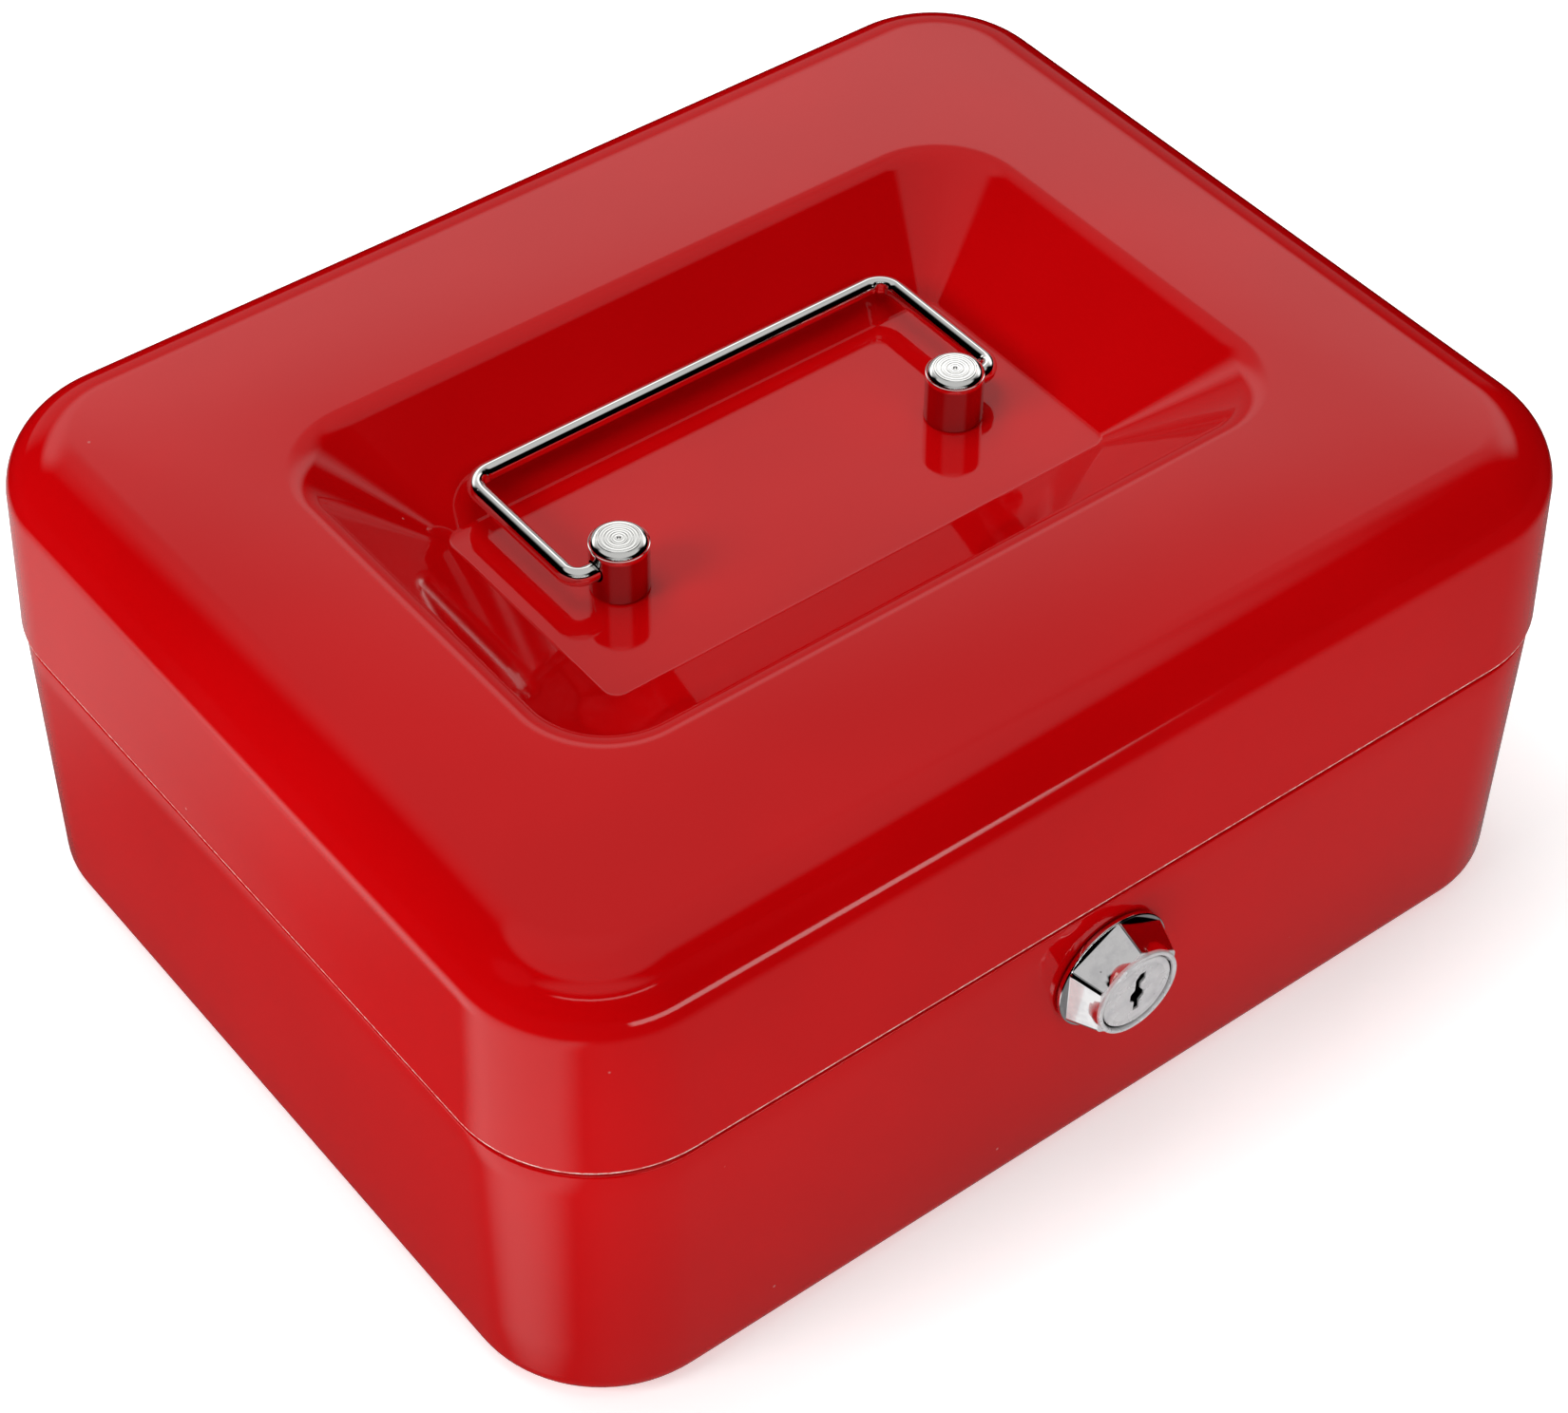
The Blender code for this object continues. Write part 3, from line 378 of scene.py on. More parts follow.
def black_plastic():
    """Moulded styrene: fine spark texture, a little dust and rubbed edges."""
    g = Graph("black_plastic")
    dust = g.ramp(g.noise(60.0, 5.0, 0.65), 0.45, 0.80)
    tone = g.blend_colors(g.math("MULTIPLY", dust, 0.25),
                          color(0.016, 0.016, 0.018), color(0.075, 0.072, 0.068))
    tone = g.blend_colors(g.math("MULTIPLY", g.worn_edges(0.54, 0.64), 0.4), tone, color(0.09, 0.09, 0.09))
    grain = g.noise(2300.0, 3.0, 0.6)
    g.shade(Base_Color=tone, Roughness=g.ramp(dust, 0.0, 1.0, 0.36, 0.55), IOR=1.50)
    g.bump((grain, 0.00002), (g.noise(30.0, 1.0), 0.00004))
    return g.material


def paper_with_painted_glow_and_shadow():
    """Pale studio paper with painted light: it glows by emission, a little less close to the box as a painted
    contact shadow.
    """
    g = Graph("studio_paper_painted_glow_and_shadow")
    apart = g.add("ShaderNodeSeparateXYZ", {"Vector": g.place})
    away = g.math("MAXIMUM", g.math("SUBTRACT", g.math("ABSOLUTE", apart.outputs["X"]), HALF_WIDTH),
                  g.math("SUBTRACT", g.math("ABSOLUTE", apart.outputs["Y"]), HALF_DEPTH))
    fibre = g.noise(700.0, 4.0)
    tone = g.blend_colors(fibre, color(0.83, 0.83, 0.83), color(0.86, 0.86, 0.86))
    # painted glow and painted contact shadow: emission 0.50 beside the box, rising to 0.90 farther off
    glow = g.ramp(away, -0.01, 0.09, 0.50, 0.90)
    g.shade(Base_Color=tone, Roughness=0.9, Emission_Color=color(1.0, 1.0, 1.0), Emission_Strength=glow)
    g.bump((fibre, 0.00002))
    return g.material


PAINT = red_paint()
EDGE = bare_edge_and_painted_highlight()
# post chrome, with painted shade on the flanks below the cap
POST_CHROME = chrome("post_chrome", turning_rings(
    [(-POST_X, POST_Y), (POST_X, POST_Y)], 0.00045, 0.0000035, ("X", "Y")), POST_HIGH.z - SHADED_FLANK_DEPTH)
WIRE_CHROME = chrome("wire_chrome")
LOCK_CHROME = lock_plate()
ZINC = zinc_steel()
BRASS = brass()
PLASTIC = black_plastic()


# ---------------------------------------------------------------- mesh helpers

def link(name, mesh, *materials):
    piece = bpy.data.objects.new(name, mesh)
    bpy.context.scene.collection.objects.link(piece)
    for material in materials:
        mesh.materials.append(material)
    return piece


def finished(bm, name):
    bmesh.ops.recalc_face_normals(bm, faces=bm.faces)
    mesh = bpy.data.meshes.new(name)
    bm.to_mesh(mesh)
    bm.free()
    mesh.shade_smooth()
    mesh.set_sharp_from_angle(angle=SHARP_ANGLE)
    return mesh


def settle(piece):
    """Turn a piece's modifiers into mesh."""
    bpy.context.view_layer.update()
    evaluated = piece.evaluated_get(bpy.context.evaluated_depsgraph_get())
    mesh = bpy.data.meshes.new_from_object(evaluated)
    mesh.name = piece.name
    piece.modifiers.clear()
    piece.data = mesh
    mesh.shade_smooth()
    mesh.set_sharp_from_angle(angle=SHARP_ANGLE)
    return piece


def bevel(piece, width, segments=2, angle=math.radians(40)):
    step = piece.modifiers.new("soften", "BEVEL")
    step.width = width
    step.segments = segments
    step.limit_method = "ANGLE"
    step.angle_limit = angle
    step.use_clamp_overlap = True
    step.miter_outer = "MITER_ARC"
    return settle(piece)


def cut(piece, *tools):
    for tool in tools:
        step = piece.modifiers.new(tool.name, "BOOLEAN")
        step.operation = "DIFFERENCE"
        step.solver = "EXACT"
        step.object = tool
    settle(piece)
    for tool in tools:
        bpy.data.objects.remove(tool, do_unlink=True)
    return piece


def keep(piece, body, slot, *nodes):
    """Ride a finished piece on its body in place of CAD nodes."""
    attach(piece, body)
    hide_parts(*nodes)
    return piece


def arc_points(centre, radius, start, end, steps):
    return [(centre[0] + radius * math.cos(start + (end - start) * i / steps),
             centre[1] + radius * math.sin(start + (end - start) * i / steps)) for i in range(steps + 1)]


def rounded_ring(half_x, half_y, radius, z, centre_y=0.0, centre_x=0.0):
    """A level rounded rectangle, anticlockwise seen from above."""
    points = []
    for corner, (sign_x, sign_y) in enumerate(((1, 1), (-1, 1), (-1, -1), (1, -1))):
        middle = (centre_x + sign_x * (half_x - radius), centre_y + sign_y * (half_y - radius))
        start = corner * QUARTER_TURN
        points += [(x, y, z) for x, y in arc_points(middle, radius, start, start + QUARTER_TURN, CORNER_STEPS)]
    return points


def skin(name, rings, materials, cap_start=False, cap_end=False, closed=False, paint_of=None):
    """Skin a row of rings of equal point count; paint_of gives the material index of a band."""
    bm = bmesh.new()
    loops = [[bm.verts.new(point) for point in ring] for ring in rings]
    bands = list(zip(loops, loops[1:]))
    if closed:
        bands.append((loops[-1], loops[0]))
    for index, (lower, upper) in enumerate(bands):
        for i in range(len(lower)):
            j = (i + 1) % len(lower)
            face = bm.faces.new((lower[i], lower[j], upper[j], upper[i]))
            face.material_index = paint_of(index) if paint_of else 0
    if cap_start:
        bm.faces.new(list(reversed(loops[0])))
    if cap_end:
        bm.faces.new(loops[-1])
    return link(name, finished(bm, name), *materials)


def turned(name, profile, material, centre, axis="Z", closed=False, steps=TURN_STEPS, reach_of=None):
    """Turn a profile of (radius, height along the axis) points; a zero radius closes the end in a point."""
    bm = bmesh.new()
    loops = []
    for radius, height in profile:
        ring = []
        for i in range(steps if radius > 0 else 1):
            angle = FULL_TURN * i / steps
            reach = radius if reach_of is None else reach_of(angle, radius, height)
            a, b = reach * math.cos(angle), reach * math.sin(angle)
            local = (a, b, height) if axis == "Z" else (a, height, b)
            ring.append(bm.verts.new(Vector(centre) + Vector(local)))
        loops.append(ring)
    pairs = list(zip(loops, loops[1:])) + ([(loops[-1], loops[0])] if closed else [])
    for lower, upper in pairs:
        for i in range(steps):
            j = (i + 1) % steps
            corners = []
            for ring, k in ((lower, i), (lower, j), (upper, j), (upper, i)):
                vert = ring[k] if len(ring) > 1 else ring[0]
                if vert not in corners:
                    corners.append(vert)
            bm.faces.new(corners)
    return link(name, finished(bm, name), material)


def rod(name, start, end, radius, steps=TURN_STEPS):
    """A plain tool for cutting a round hole."""
    start, end = Vector(start), Vector(end)
    along = end - start
    place = Matrix.Translation((start + end) / 2) @ along.to_track_quat("Z", "Y").to_matrix().to_4x4()
    bm = bmesh.new()
    bmesh.ops.create_cone(bm, cap_ends=True, segments=steps, radius1=radius, radius2=radius,
                          depth=along.length, matrix=place)
    return link(name, finished(bm, name))


def extruded(name, outline, low, high, to_point, material, holes=()):
    """A flat outline with holes, thick between two heights; to_point maps (u, v, height) to a place."""
    bm = bmesh.new()
    edges = []
    for loop in [outline] + list(holes):
        verts = [bm.verts.new(to_point(u, v, low)) for u, v in loop]
        edges += [bm.edges.new((a, b)) for a, b in zip(verts, verts[1:] + verts[:1])]
    made = bmesh.ops.triangle_fill(bm, use_beauty=True, use_dissolve=True, edges=edges)
    faces = [item for item in made["geom"] if isinstance(item, bmesh.types.BMFace)]
    lifted = bmesh.ops.extrude_face_region(bm, geom=faces, use_keep_orig=True)
    shift = Vector(to_point(0, 0, high)) - Vector(to_point(0, 0, low))
    bmesh.ops.translate(bm, vec=shift, verts=[v for v in lifted["geom"] if isinstance(v, bmesh.types.BMVert)])
    return link(name, finished(bm, name), material)


def joined(name, pieces):
    """Several meshes as one object."""
    bm = bmesh.new()
    materials = []
    for piece in pieces:
        bm.from_mesh(piece.data)
        materials = materials or list(piece.data.materials)
        bpy.data.objects.remove(piece, do_unlink=True)
    return link(name, finished(bm, name), *materials)


# ---------------------------------------------------------------- shells

def lid_wall_inset(z):
    return LID_DRAFT * (z - SEAM_Z) / (TOP_Z - ROLL_RADIUS - SEAM_Z)


def body_wall_inset(z):
    top = SEAM_Z - SHOULDER_DROP
    return BODY_INSET + BODY_DRAFT * (top - z) / top


def offset_profile(profile, distance):
    """The same (inset, z) profile moved to the inner side of the sheet by a distance."""
    moved = []
    for i, (inset, z) in enumerate(profile):
        before = profile[max(i - 1, 0)]
        after = profile[min(i + 1, len(profile) - 1)]
        along = Vector((after[0] - before[0], after[1] - before[1])).normalized()
        moved.append((inset + along.y * distance, z - along.x * distance))
    return moved


def sheet_rings(outer, ring_of):
    """Rings down the inner side of a sheet and up its outer side, joined by a round hem."""
    inner = offset_profile(outer, SHEET)
    start, across = Vector(outer[0]), Vector(inner[0]) - Vector(outer[0])
    up = (Vector(outer[1]) - start).normalized()
    hem = []
    for side, turn in ((inner, -1), (outer, 1)):
        corner = Vector(side[0])
        for i in range(5):
            angle = QUARTER_TURN * i / 4
            rise = up * HEM_RADIUS * (1 - math.sin(angle))
            into = across.normalized() * HEM_RADIUS * (1 - math.cos(angle)) * turn
            hem.append(corner + (rise + into if turn < 0 else rise + into))
    inner_hem, outer_hem = hem[:5], list(reversed(hem[5:]))
    rows = list(reversed(inner[1:])) + inner_hem + outer_hem + list(outer[1:])
    return [ring_of(inset, z) for inset, z in rows], len(inner) - 1


def make_lid():
    side_top = TOP_Z - ROLL_RADIUS
    profile = [(0.0, SEAM_Z), (0.0, SEAM_Z + EDGE_HEIGHT)]
    profile += [(lid_wall_inset(SEAM_Z + (side_top - SEAM_Z) * share), SEAM_Z + (side_top - SEAM_Z) * share)
                for share in (0.05, 0.35, 0.65, 0.95)]
    profile += [(LID_DRAFT + ROLL_RADIUS * (1 - math.cos(a)), side_top + ROLL_RADIUS * math.sin(a))
                for a in (QUARTER_TURN * i / 20 for i in range(21))]
    rim_tangent = WELL_RIM_RADIUS * math.tan(WELL_SLOPE / 2)
    foot_tangent = WELL_FOOT_RADIUS * math.tan(WELL_SLOPE / 2)
    run = (TOP_Z - WELL_FLOOR_Z) / math.tan(WELL_SLOPE)
    well = [(run + rim_tangent - WELL_RIM_RADIUS * math.sin(a), TOP_Z - WELL_RIM_RADIUS * (1 - math.cos(a)))
            for a in (WELL_SLOPE * i / 16 for i in range(17))]
    well += [(foot_tangent * -1 + WELL_FOOT_RADIUS * math.sin(a),
              WELL_FLOOR_Z + WELL_FOOT_RADIUS * (1 - math.cos(a)))
             for a in (WELL_SLOPE * (1 - i / 8) for i in range(9))]

    def well_ring(offset, z):
        share = (z - WELL_FLOOR_Z) / (TOP_Z - WELL_FLOOR_Z)
        centre_y = WELL_FLOOR_Y + (WELL_RIM_Y - WELL_FLOOR_Y) * share
        corner = WELL_CORNER + WELL_CORNER_GROWTH * offset
        return rounded_ring(WELL_HALF.x + offset, WELL_HALF.y + offset, corner, z, centre_y)

    def side_ring(inset, z):
        return rounded_ring(HALF_WIDTH - inset, HALF_DEPTH - inset, PLAN_RADIUS - inset, z)

    rings, hem_start = sheet_rings(profile, side_ring)
    outer_well = [well_ring(*row) for row in well]
    inner_well = [well_ring(-row[0], row[1]) for row in offset_profile([(-o, z) for o, z in well], SHEET)]
    rows = list(reversed(inner_well)) + rings + outer_well
    first_hem = len(inner_well) + hem_start
    # the hem band takes the cut edge material, with its painted highlight
    return skin("lid_panel", rows, [PAINT, EDGE], cap_start=True, cap_end=True,
                paint_of=lambda i: 1 if first_hem + 3 <= i <= first_hem + 9 else 0)


def make_body():
    shoulder = SEAM_Z - SHOULDER_DROP
    neck_top = BODY_HIGH.z
    foot = body_wall_inset(FLOOR_RADIUS)
    outer = [(NECK_INSET, neck_top), (NECK_INSET, neck_top - 0.0010), (NECK_INSET, shoulder + 0.0006)]
    outer += [(NECK_INSET - 0.0005 * math.sin(a), shoulder + 0.0006 - 0.0005 * (1 - math.cos(a)) - 0.0001)
              for a in (QUARTER_TURN * i / 4 for i in range(1, 5))]
    outer += [(BODY_INSET + 0.0005 * (1 - math.sin(a)), shoulder - 0.0005 * (1 - math.cos(a)))
              for a in (QUARTER_TURN * i / 5 for i in range(6))]
    outer += [(body_wall_inset(z), z) for z in (0.048, 0.036, 0.024, 0.012)]
    outer += [(foot + FLOOR_RADIUS * (1 - math.cos(a)), FLOOR_RADIUS * (1 - math.sin(a)))
              for a in (QUARTER_TURN * i / 10 for i in range(11))]
    flipped = [(inset, -z) for inset, z in outer]

    def ring(inset, z):
        return rounded_ring(HALF_WIDTH - inset, HALF_DEPTH - inset, PLAN_RADIUS - inset, -z)

    rings, _ = sheet_rings(flipped, ring)
    body = skin("box_shell", rings, [PAINT], cap_start=True, cap_end=True)
    hole = rod("lock_hole", (0, LOCK_WALL_Y - 0.002, LOCK_Z), (0, LOCK_WALL_Y + 0.004, LOCK_Z),
               BARREL_RADIUS + GAP)
    return cut(body, hole)


# ---------------------------------------------------------------- hinge and rivets

def knuckle_spans():
    length = 2 * HINGE_HALF_LENGTH / KNUCKLES
    return [(-HINGE_HALF_LENGTH + i * length + GAP / 2, -HINGE_HALF_LENGTH + (i + 1) * length - GAP / 2)
            for i in range(KNUCKLES)]


def make_leaf(name, upward, face_y, lean):
    """A painted leaf: a plate with round corners on the wall and knuckles rolled round the pin."""
    half = HINGE_HALF_LENGTH
    low, high = LEAF_CLEARANCE, LEAF_CLEARANCE + LEAF_HEIGHT
    corner = 0.0025
    outline = [(-half, low), (half, low)]
    outline += arc_points((half - corner, high - corner), corner, 0.0, QUARTER_TURN, 8)
    outline += arc_points((-half + corner, high - corner), corner, QUARTER_TURN, 2 * QUARTER_TURN, 8)
    tilt = Matrix.Rotation(lean, 4, "X")

    def on_wall(u, v, w):
        local = tilt @ Vector((0.0, w, upward * v))
        return (u, face_y + local.y, SEAM_Z + local.z)

    plate = extruded("plate", outline, 0.0, LEAF_THICKNESS, on_wall, PAINT)
    pieces = [bevel(plate, 0.00022)]
    web_front = face_y - HINGE_Y
    web_top = LEAF_CLEARANCE + LEAF_THICKNESS
    for start, end in knuckle_spans()[0 if upward < 0 else 1::2]:

        def on_axis(u, v, w, side=upward):
            return (w, HINGE_Y + u, SEAM_Z + side * v)

        ring = [(a, b) for a, b in arc_points((0, 0), KNUCKLE_RADIUS, 0.0, FULL_TURN, 48)[:-1]]
        bore = [(a, b) for a, b in arc_points((0, 0), KNUCKLE_BORE, 0.0, FULL_TURN, 48)[:-1]]
        roll = extruded("roll", ring, start, end, on_axis, PAINT, holes=[bore])
        web = extruded("web", [(web_front, 2 * GAP), (web_front + 0.0009, 2 * GAP),
                               (web_front + 0.0014, LEAF_CLEARANCE - 0.0004),
                               (web_front + 0.0012, web_top), (web_front, web_top)], start, end, on_axis, PAINT)
        pieces += [bevel(roll, 0.00012, angle=math.radians(60)), bevel(web, 0.0001, angle=math.radians(60))]
    return joined(name, pieces)


def make_rivet(name, x, z, inner_y, outer_y):
    """A dome head outside, a short shank, and a flat head inside."""
    dome = [(RIVET_HEAD_RADIUS * math.sin(a), outer_y + GAP + RIVET_HEAD_HEIGHT * math.cos(a))
            for a in (QUARTER_TURN * i / 14 for i in range(15))]
    dome[0] = (0.0, dome[0][1])
    low = inner_y - GAP - RIVET_HEAD_HEIGHT
    soft = RIVET_HEAD_HEIGHT * 0.4
    flat = arc_points((RIVET_HEAD_RADIUS - soft, low + soft), soft, 0.0, -QUARTER_TURN, 5)
    profile = dome + [(RIVET_RADIUS, outer_y + GAP / 2), (RIVET_RADIUS, inner_y - GAP / 2)]
    profile += [(RIVET_HEAD_RADIUS, inner_y - GAP)] + flat + [(0.0, low)]
    return turned(name, profile, PAINT, (x, 0.0, z), axis="Y", steps=48)


def add_hinge():
    body_face = HALF_DEPTH - BODY_INSET + GAP
    lid_face = HALF_DEPTH + GAP
    lid_lean = math.atan(LID_DRAFT / (TOP_Z - ROLL_RADIUS - SEAM_Z))
    body_lean = math.atan(BODY_DRAFT / SEAM_Z)
    keep(make_leaf("hinge_half_body", -1, body_face, -body_lean), "box", "red_paint", "hinge_leaf_body")
    keep(make_leaf("hinge_half_lid", 1, lid_face, lid_lean), "lid", "red_paint", "hinge_leaf_lid")
    for body, z, inset in (("body", BODY_RIVET_Z, body_wall_inset(BODY_RIVET_Z)),
                           ("lid", LID_RIVET_Z, lid_wall_inset(LID_RIVET_Z))):
        wall_y = HALF_DEPTH - inset
        for index in range(3):
            x = (index - 1) * RIVET_SPACING
            rivet = make_rivet(f"rivet_{body}_{index + 1}", x, z, wall_y - SHEET,
                               wall_y + LEAF_THICKNESS + GAP * 0.4)
            keep(rivet, "box" if body == "body" else "lid", "red_paint", f"hinge_rivet_{body}_{index + 1}")
    pin = turned("hinge_pin_turned", [
        (0.0, -HINGE_HALF_LENGTH), (0.0007, -HINGE_HALF_LENGTH), (0.00091, -HINGE_HALF_LENGTH + 0.00009),
        (0.0010, -HINGE_HALF_LENGTH + 0.0003), (0.0010, HINGE_HALF_LENGTH - 0.0003),
        (0.00091, HINGE_HALF_LENGTH - 0.00009), (0.0007, HINGE_HALF_LENGTH), (0.0, HINGE_HALF_LENGTH)],
        ZINC, (0.0, 0.0, 0.0), steps=32)
    pin.data.transform(Matrix.Translation((0, HINGE_Y, SEAM_Z)) @ Matrix.Rotation(QUARTER_TURN, 4, "Y"))
    keep(pin, "box", "zinc_steel", "hinge_pin")


# ---------------------------------------------------------------- posts and bail

def add_posts():
    top = POST_HIGH.z
    profile = [(0.0, top - 0.00018), (0.00016, top - 0.00016), (0.00030, top - 0.00003), (0.00036, top),
               (0.00042, top)]
    for ring in CAP_RINGS:
        profile += [(ring - CAP_RING_HALF_WIDTH, top), (ring, top - CAP_RING_DEPTH),
                    (ring + CAP_RING_HALF_WIDTH, top)]
    profile += [(CAP_FLAT - 0.00012, top), (CAP_FLAT - 0.00006, top - 0.00006), (CAP_FLAT, top - 0.00002)]
    shoulder = POST_RADIUS - CAP_FLAT
    profile += arc_points((CAP_FLAT, top - 0.00002 - shoulder), shoulder,
                          QUARTER_TURN * 0.92, QUARTER_TURN * 0.34, 8)
    rim = profile[-1]
    profile += [(rim[0] + 0.00004, rim[1] - 0.00012), (POST_RADIUS - 0.00003, rim[1] - 0.00016)]
    profile += [(POST_RADIUS, rim[1] - 0.00022), (POST_RADIUS, rim[1] - 0.0008)]
    profile += [(POST_RADIUS, POST_FOOT_Z + 0.0003), (POST_RADIUS - 0.0003, POST_FOOT_Z)]
    profile += [(0.0025, POST_FOOT_Z), (0.0025, WELL_FLOOR_Z - 0.0022), (0.0036, WELL_FLOOR_Z - 0.0024)]
    tail = POST_LOW.z
    profile += arc_points((0.0026, tail + 0.0008), 0.0008, 0.0, -QUARTER_TURN, 5) + [(0.0, tail)]
    for side, x in (("left", -POST_X), ("right", POST_X)):
        post = turned(f"post_{side}_turned", profile, POST_CHROME, (x, POST_Y, 0.0))
        outward = math.copysign(1.0, x)
        mouth = rod("mouth", (x + outward * 0.0005, POST_Y, PIVOT_Z),
                    (x + outward * (POST_RADIUS + 0.001), POST_Y, PIVOT_Z), WIRE_RADIUS + GAP, steps=40)
        keep(cut(post, mouth), "lid", "chrome", f"handle_post_{side}")


def bail_path():
    """The bail's centreline as (point, bend share) from one post to the other, in its own plane."""
    rows = [((BAIL_END_X + (BAIL_HALF_WIDTH - BAIL_END_BEND - BAIL_END_X) * i / 6, 0.0), 0.0) for i in range(6)]
    steps = 22
    for i, point in enumerate(arc_points((BAIL_HALF_WIDTH - BAIL_END_BEND, BAIL_END_BEND), BAIL_END_BEND,
                                         -QUARTER_TURN, 0.0, steps)):
        rows.append((point, math.sin(math.pi * i / steps)))
    low, high = BAIL_END_BEND, BAIL_REACH - BAIL_BEND
    rows += [((BAIL_HALF_WIDTH, low + (high - low) * i / 24), 0.0) for i in range(1, 24)]
    for i, point in enumerate(arc_points((BAIL_HALF_WIDTH - BAIL_BEND, BAIL_REACH - BAIL_BEND), BAIL_BEND,
                                         0.0, QUARTER_TURN, steps)):
        rows.append((point, math.sin(math.pi * i / steps)))
    half = BAIL_HALF_WIDTH - BAIL_BEND
    rows += [((half * (1 - i / 40), BAIL_REACH), 0.0) for i in range(1, 41)]
    return rows + [((-x, y), share) for (x, y), share in reversed(rows[:-1])]


def add_bail():
    rows = bail_path()
    sides = 40
    bm = bmesh.new()
    loops = []
    for i, ((x, y), bend) in enumerate(rows):
        before, after = rows[max(i - 1, 0)][0], rows[min(i + 1, len(rows) - 1)][0]
        along = (Vector(after) - Vector(before)).normalized()
        inward = Vector((-along.y, along.x))
        pinch = 0.40 * bend ** 4 + 0.12 * bend * math.sin(3 * math.pi * bend)
        ring = []
        for k in range(sides):
            angle = FULL_TURN * k / sides
            facing = max(0.0, math.cos(angle))
            reach = WIRE_RADIUS * (1 - pinch * facing ** 3 + 0.03 * bend * math.sin(angle) ** 2)
            place = Vector((x, y)) + inward * reach * math.cos(angle)
            ring.append(bm.verts.new((place.x, POST_Y + place.y, PIVOT_Z + reach * math.sin(angle))))
        loops.append(ring)
    for lower, upper in zip(loops, loops[1:]):
        for k in range(sides):
            j = (k + 1) % sides
            bm.faces.new((lower[k], lower[j], upper[j], upper[k]))
    bm.faces.new(loops[0])
    bm.faces.new(list(reversed(loops[-1])))
    keep(link("bail_wire", finished(bm, "bail_wire"), WIRE_CHROME), "handle", "chrome", "handle_bail")


# ---------------------------------------------------------------- lock

def add_lock():
    side = math.pi / 3

    ridge = math.radians(1.5)

    def hexagon(angle, radius, height):
        """Six flats between the flange and the rim, with a narrow flat broken on each ridge."""
        if not BEZEL_FRONT_Y - 0.00002 <= height <= BEZEL_BASE_Y + 0.00002 or radius < RIM_RADIUS - 0.00001:
            return radius
        from_ridge = (angle - side / 2) % side
        near = min(from_ridge, side - from_ridge)
        kept = max(near, ridge)
        flat = math.cos(side / 2) / math.cos(side / 2 - kept) * math.cos(kept - near)
        return max(radius * flat, min(radius, RIM_RADIUS))

    depth = BEZEL_FRONT_Y - BEZEL_BASE_Y
    flats = [(BEZEL_BASE_RADIUS + (BEZEL_FRONT_RADIUS - BEZEL_BASE_RADIUS) * share,
              BEZEL_BASE_Y + depth * share)
             for share in (i / 8 for i in range(9))]
    soft = 0.00025
    profile = [(PLUG_BORE_RADIUS, BARREL_END_Y), (BARREL_RADIUS - 0.0005, BARREL_END_Y),
               (BARREL_RADIUS, BARREL_END_Y - 0.0005), (BARREL_RADIUS, LOCK_WALL_Y),
               (FLANGE_RADIUS - 0.0001, LOCK_WALL_Y)]
    profile += arc_points((FLANGE_RADIUS - soft, BEZEL_BASE_Y + soft + 0.00003), soft, 0.0, -QUARTER_TURN, 6)
    profile += flats
    profile += [(RIM_RADIUS, BEZEL_FRONT_Y - 0.00005)]
    profile += arc_points((RIM_RADIUS - soft, RIM_FRONT_Y + soft), soft, 0.0, -QUARTER_TURN, 6)
    profile += arc_points((HEAD_BORE_RADIUS + soft, RIM_FRONT_Y + soft), soft,
                          -QUARTER_TURN, -2 * QUARTER_TURN, 6)
    profile += [(HEAD_BORE_RADIUS, HEAD_BORE_END_Y), (PLUG_BORE_RADIUS, HEAD_BORE_END_Y)]
    housing = turned("lock_bezel", profile, LOCK_CHROME, (0, 0, LOCK_Z), axis="Y", closed=True, steps=240,
                     reach_of=hexagon)
    keep(housing, "box", "chrome", "lock_housing")

    tang_end = PLUG_HIGH.y
    face = PLUG_FRONT_Y
    profile = [(0.0, face), (0.0015, face), (0.0035, face), (0.0052, face)]
    profile += [(0.0054, face + 0.00006), (0.0056, face + 0.00006), (0.0058, face)]
    profile += arc_points((PLUG_HEAD_RADIUS - soft, face + soft), soft, -QUARTER_TURN, 0.0, 6)
    profile += [(PLUG_HEAD_RADIUS, HEAD_BORE_END_Y - GAP), (PLUG_RADIUS, HEAD_BORE_END_Y - GAP),
                (PLUG_RADIUS, BARREL_END_Y), (0.0022, BARREL_END_Y), (0.0022, tang_end), (0.0, tang_end)]
    plug = turned("lock_core", profile, LOCK_CHROME, (0, 0, LOCK_Z), axis="Y")
    half, step, top = 0.00055, 0.0008, 0.0038
    outline = [
        (-half, -top), (half, -top), (half, -top * 0.55), (half + step, -top * 0.35), (half + step, -half),
        (half, half), (half, top * 0.45), (half + step, top * 0.6), (half + step, top), (step - half, top),
        (-half, top * 0.75), (-half, top * 0.2), (-half - step, 0.0), (-half - step, -top * 0.35),
        (-half, -top * 0.5)]
    keyway = extruded("keyway", outline, face - 0.001, KEYWAY_END_Y, lambda u, v, w: (u, w, LOCK_Z + v),
                      LOCK_CHROME)
    keep(cut(plug, keyway), "lock", "chrome", "lock_plug")


# ---------------------------------------------------------------- tray

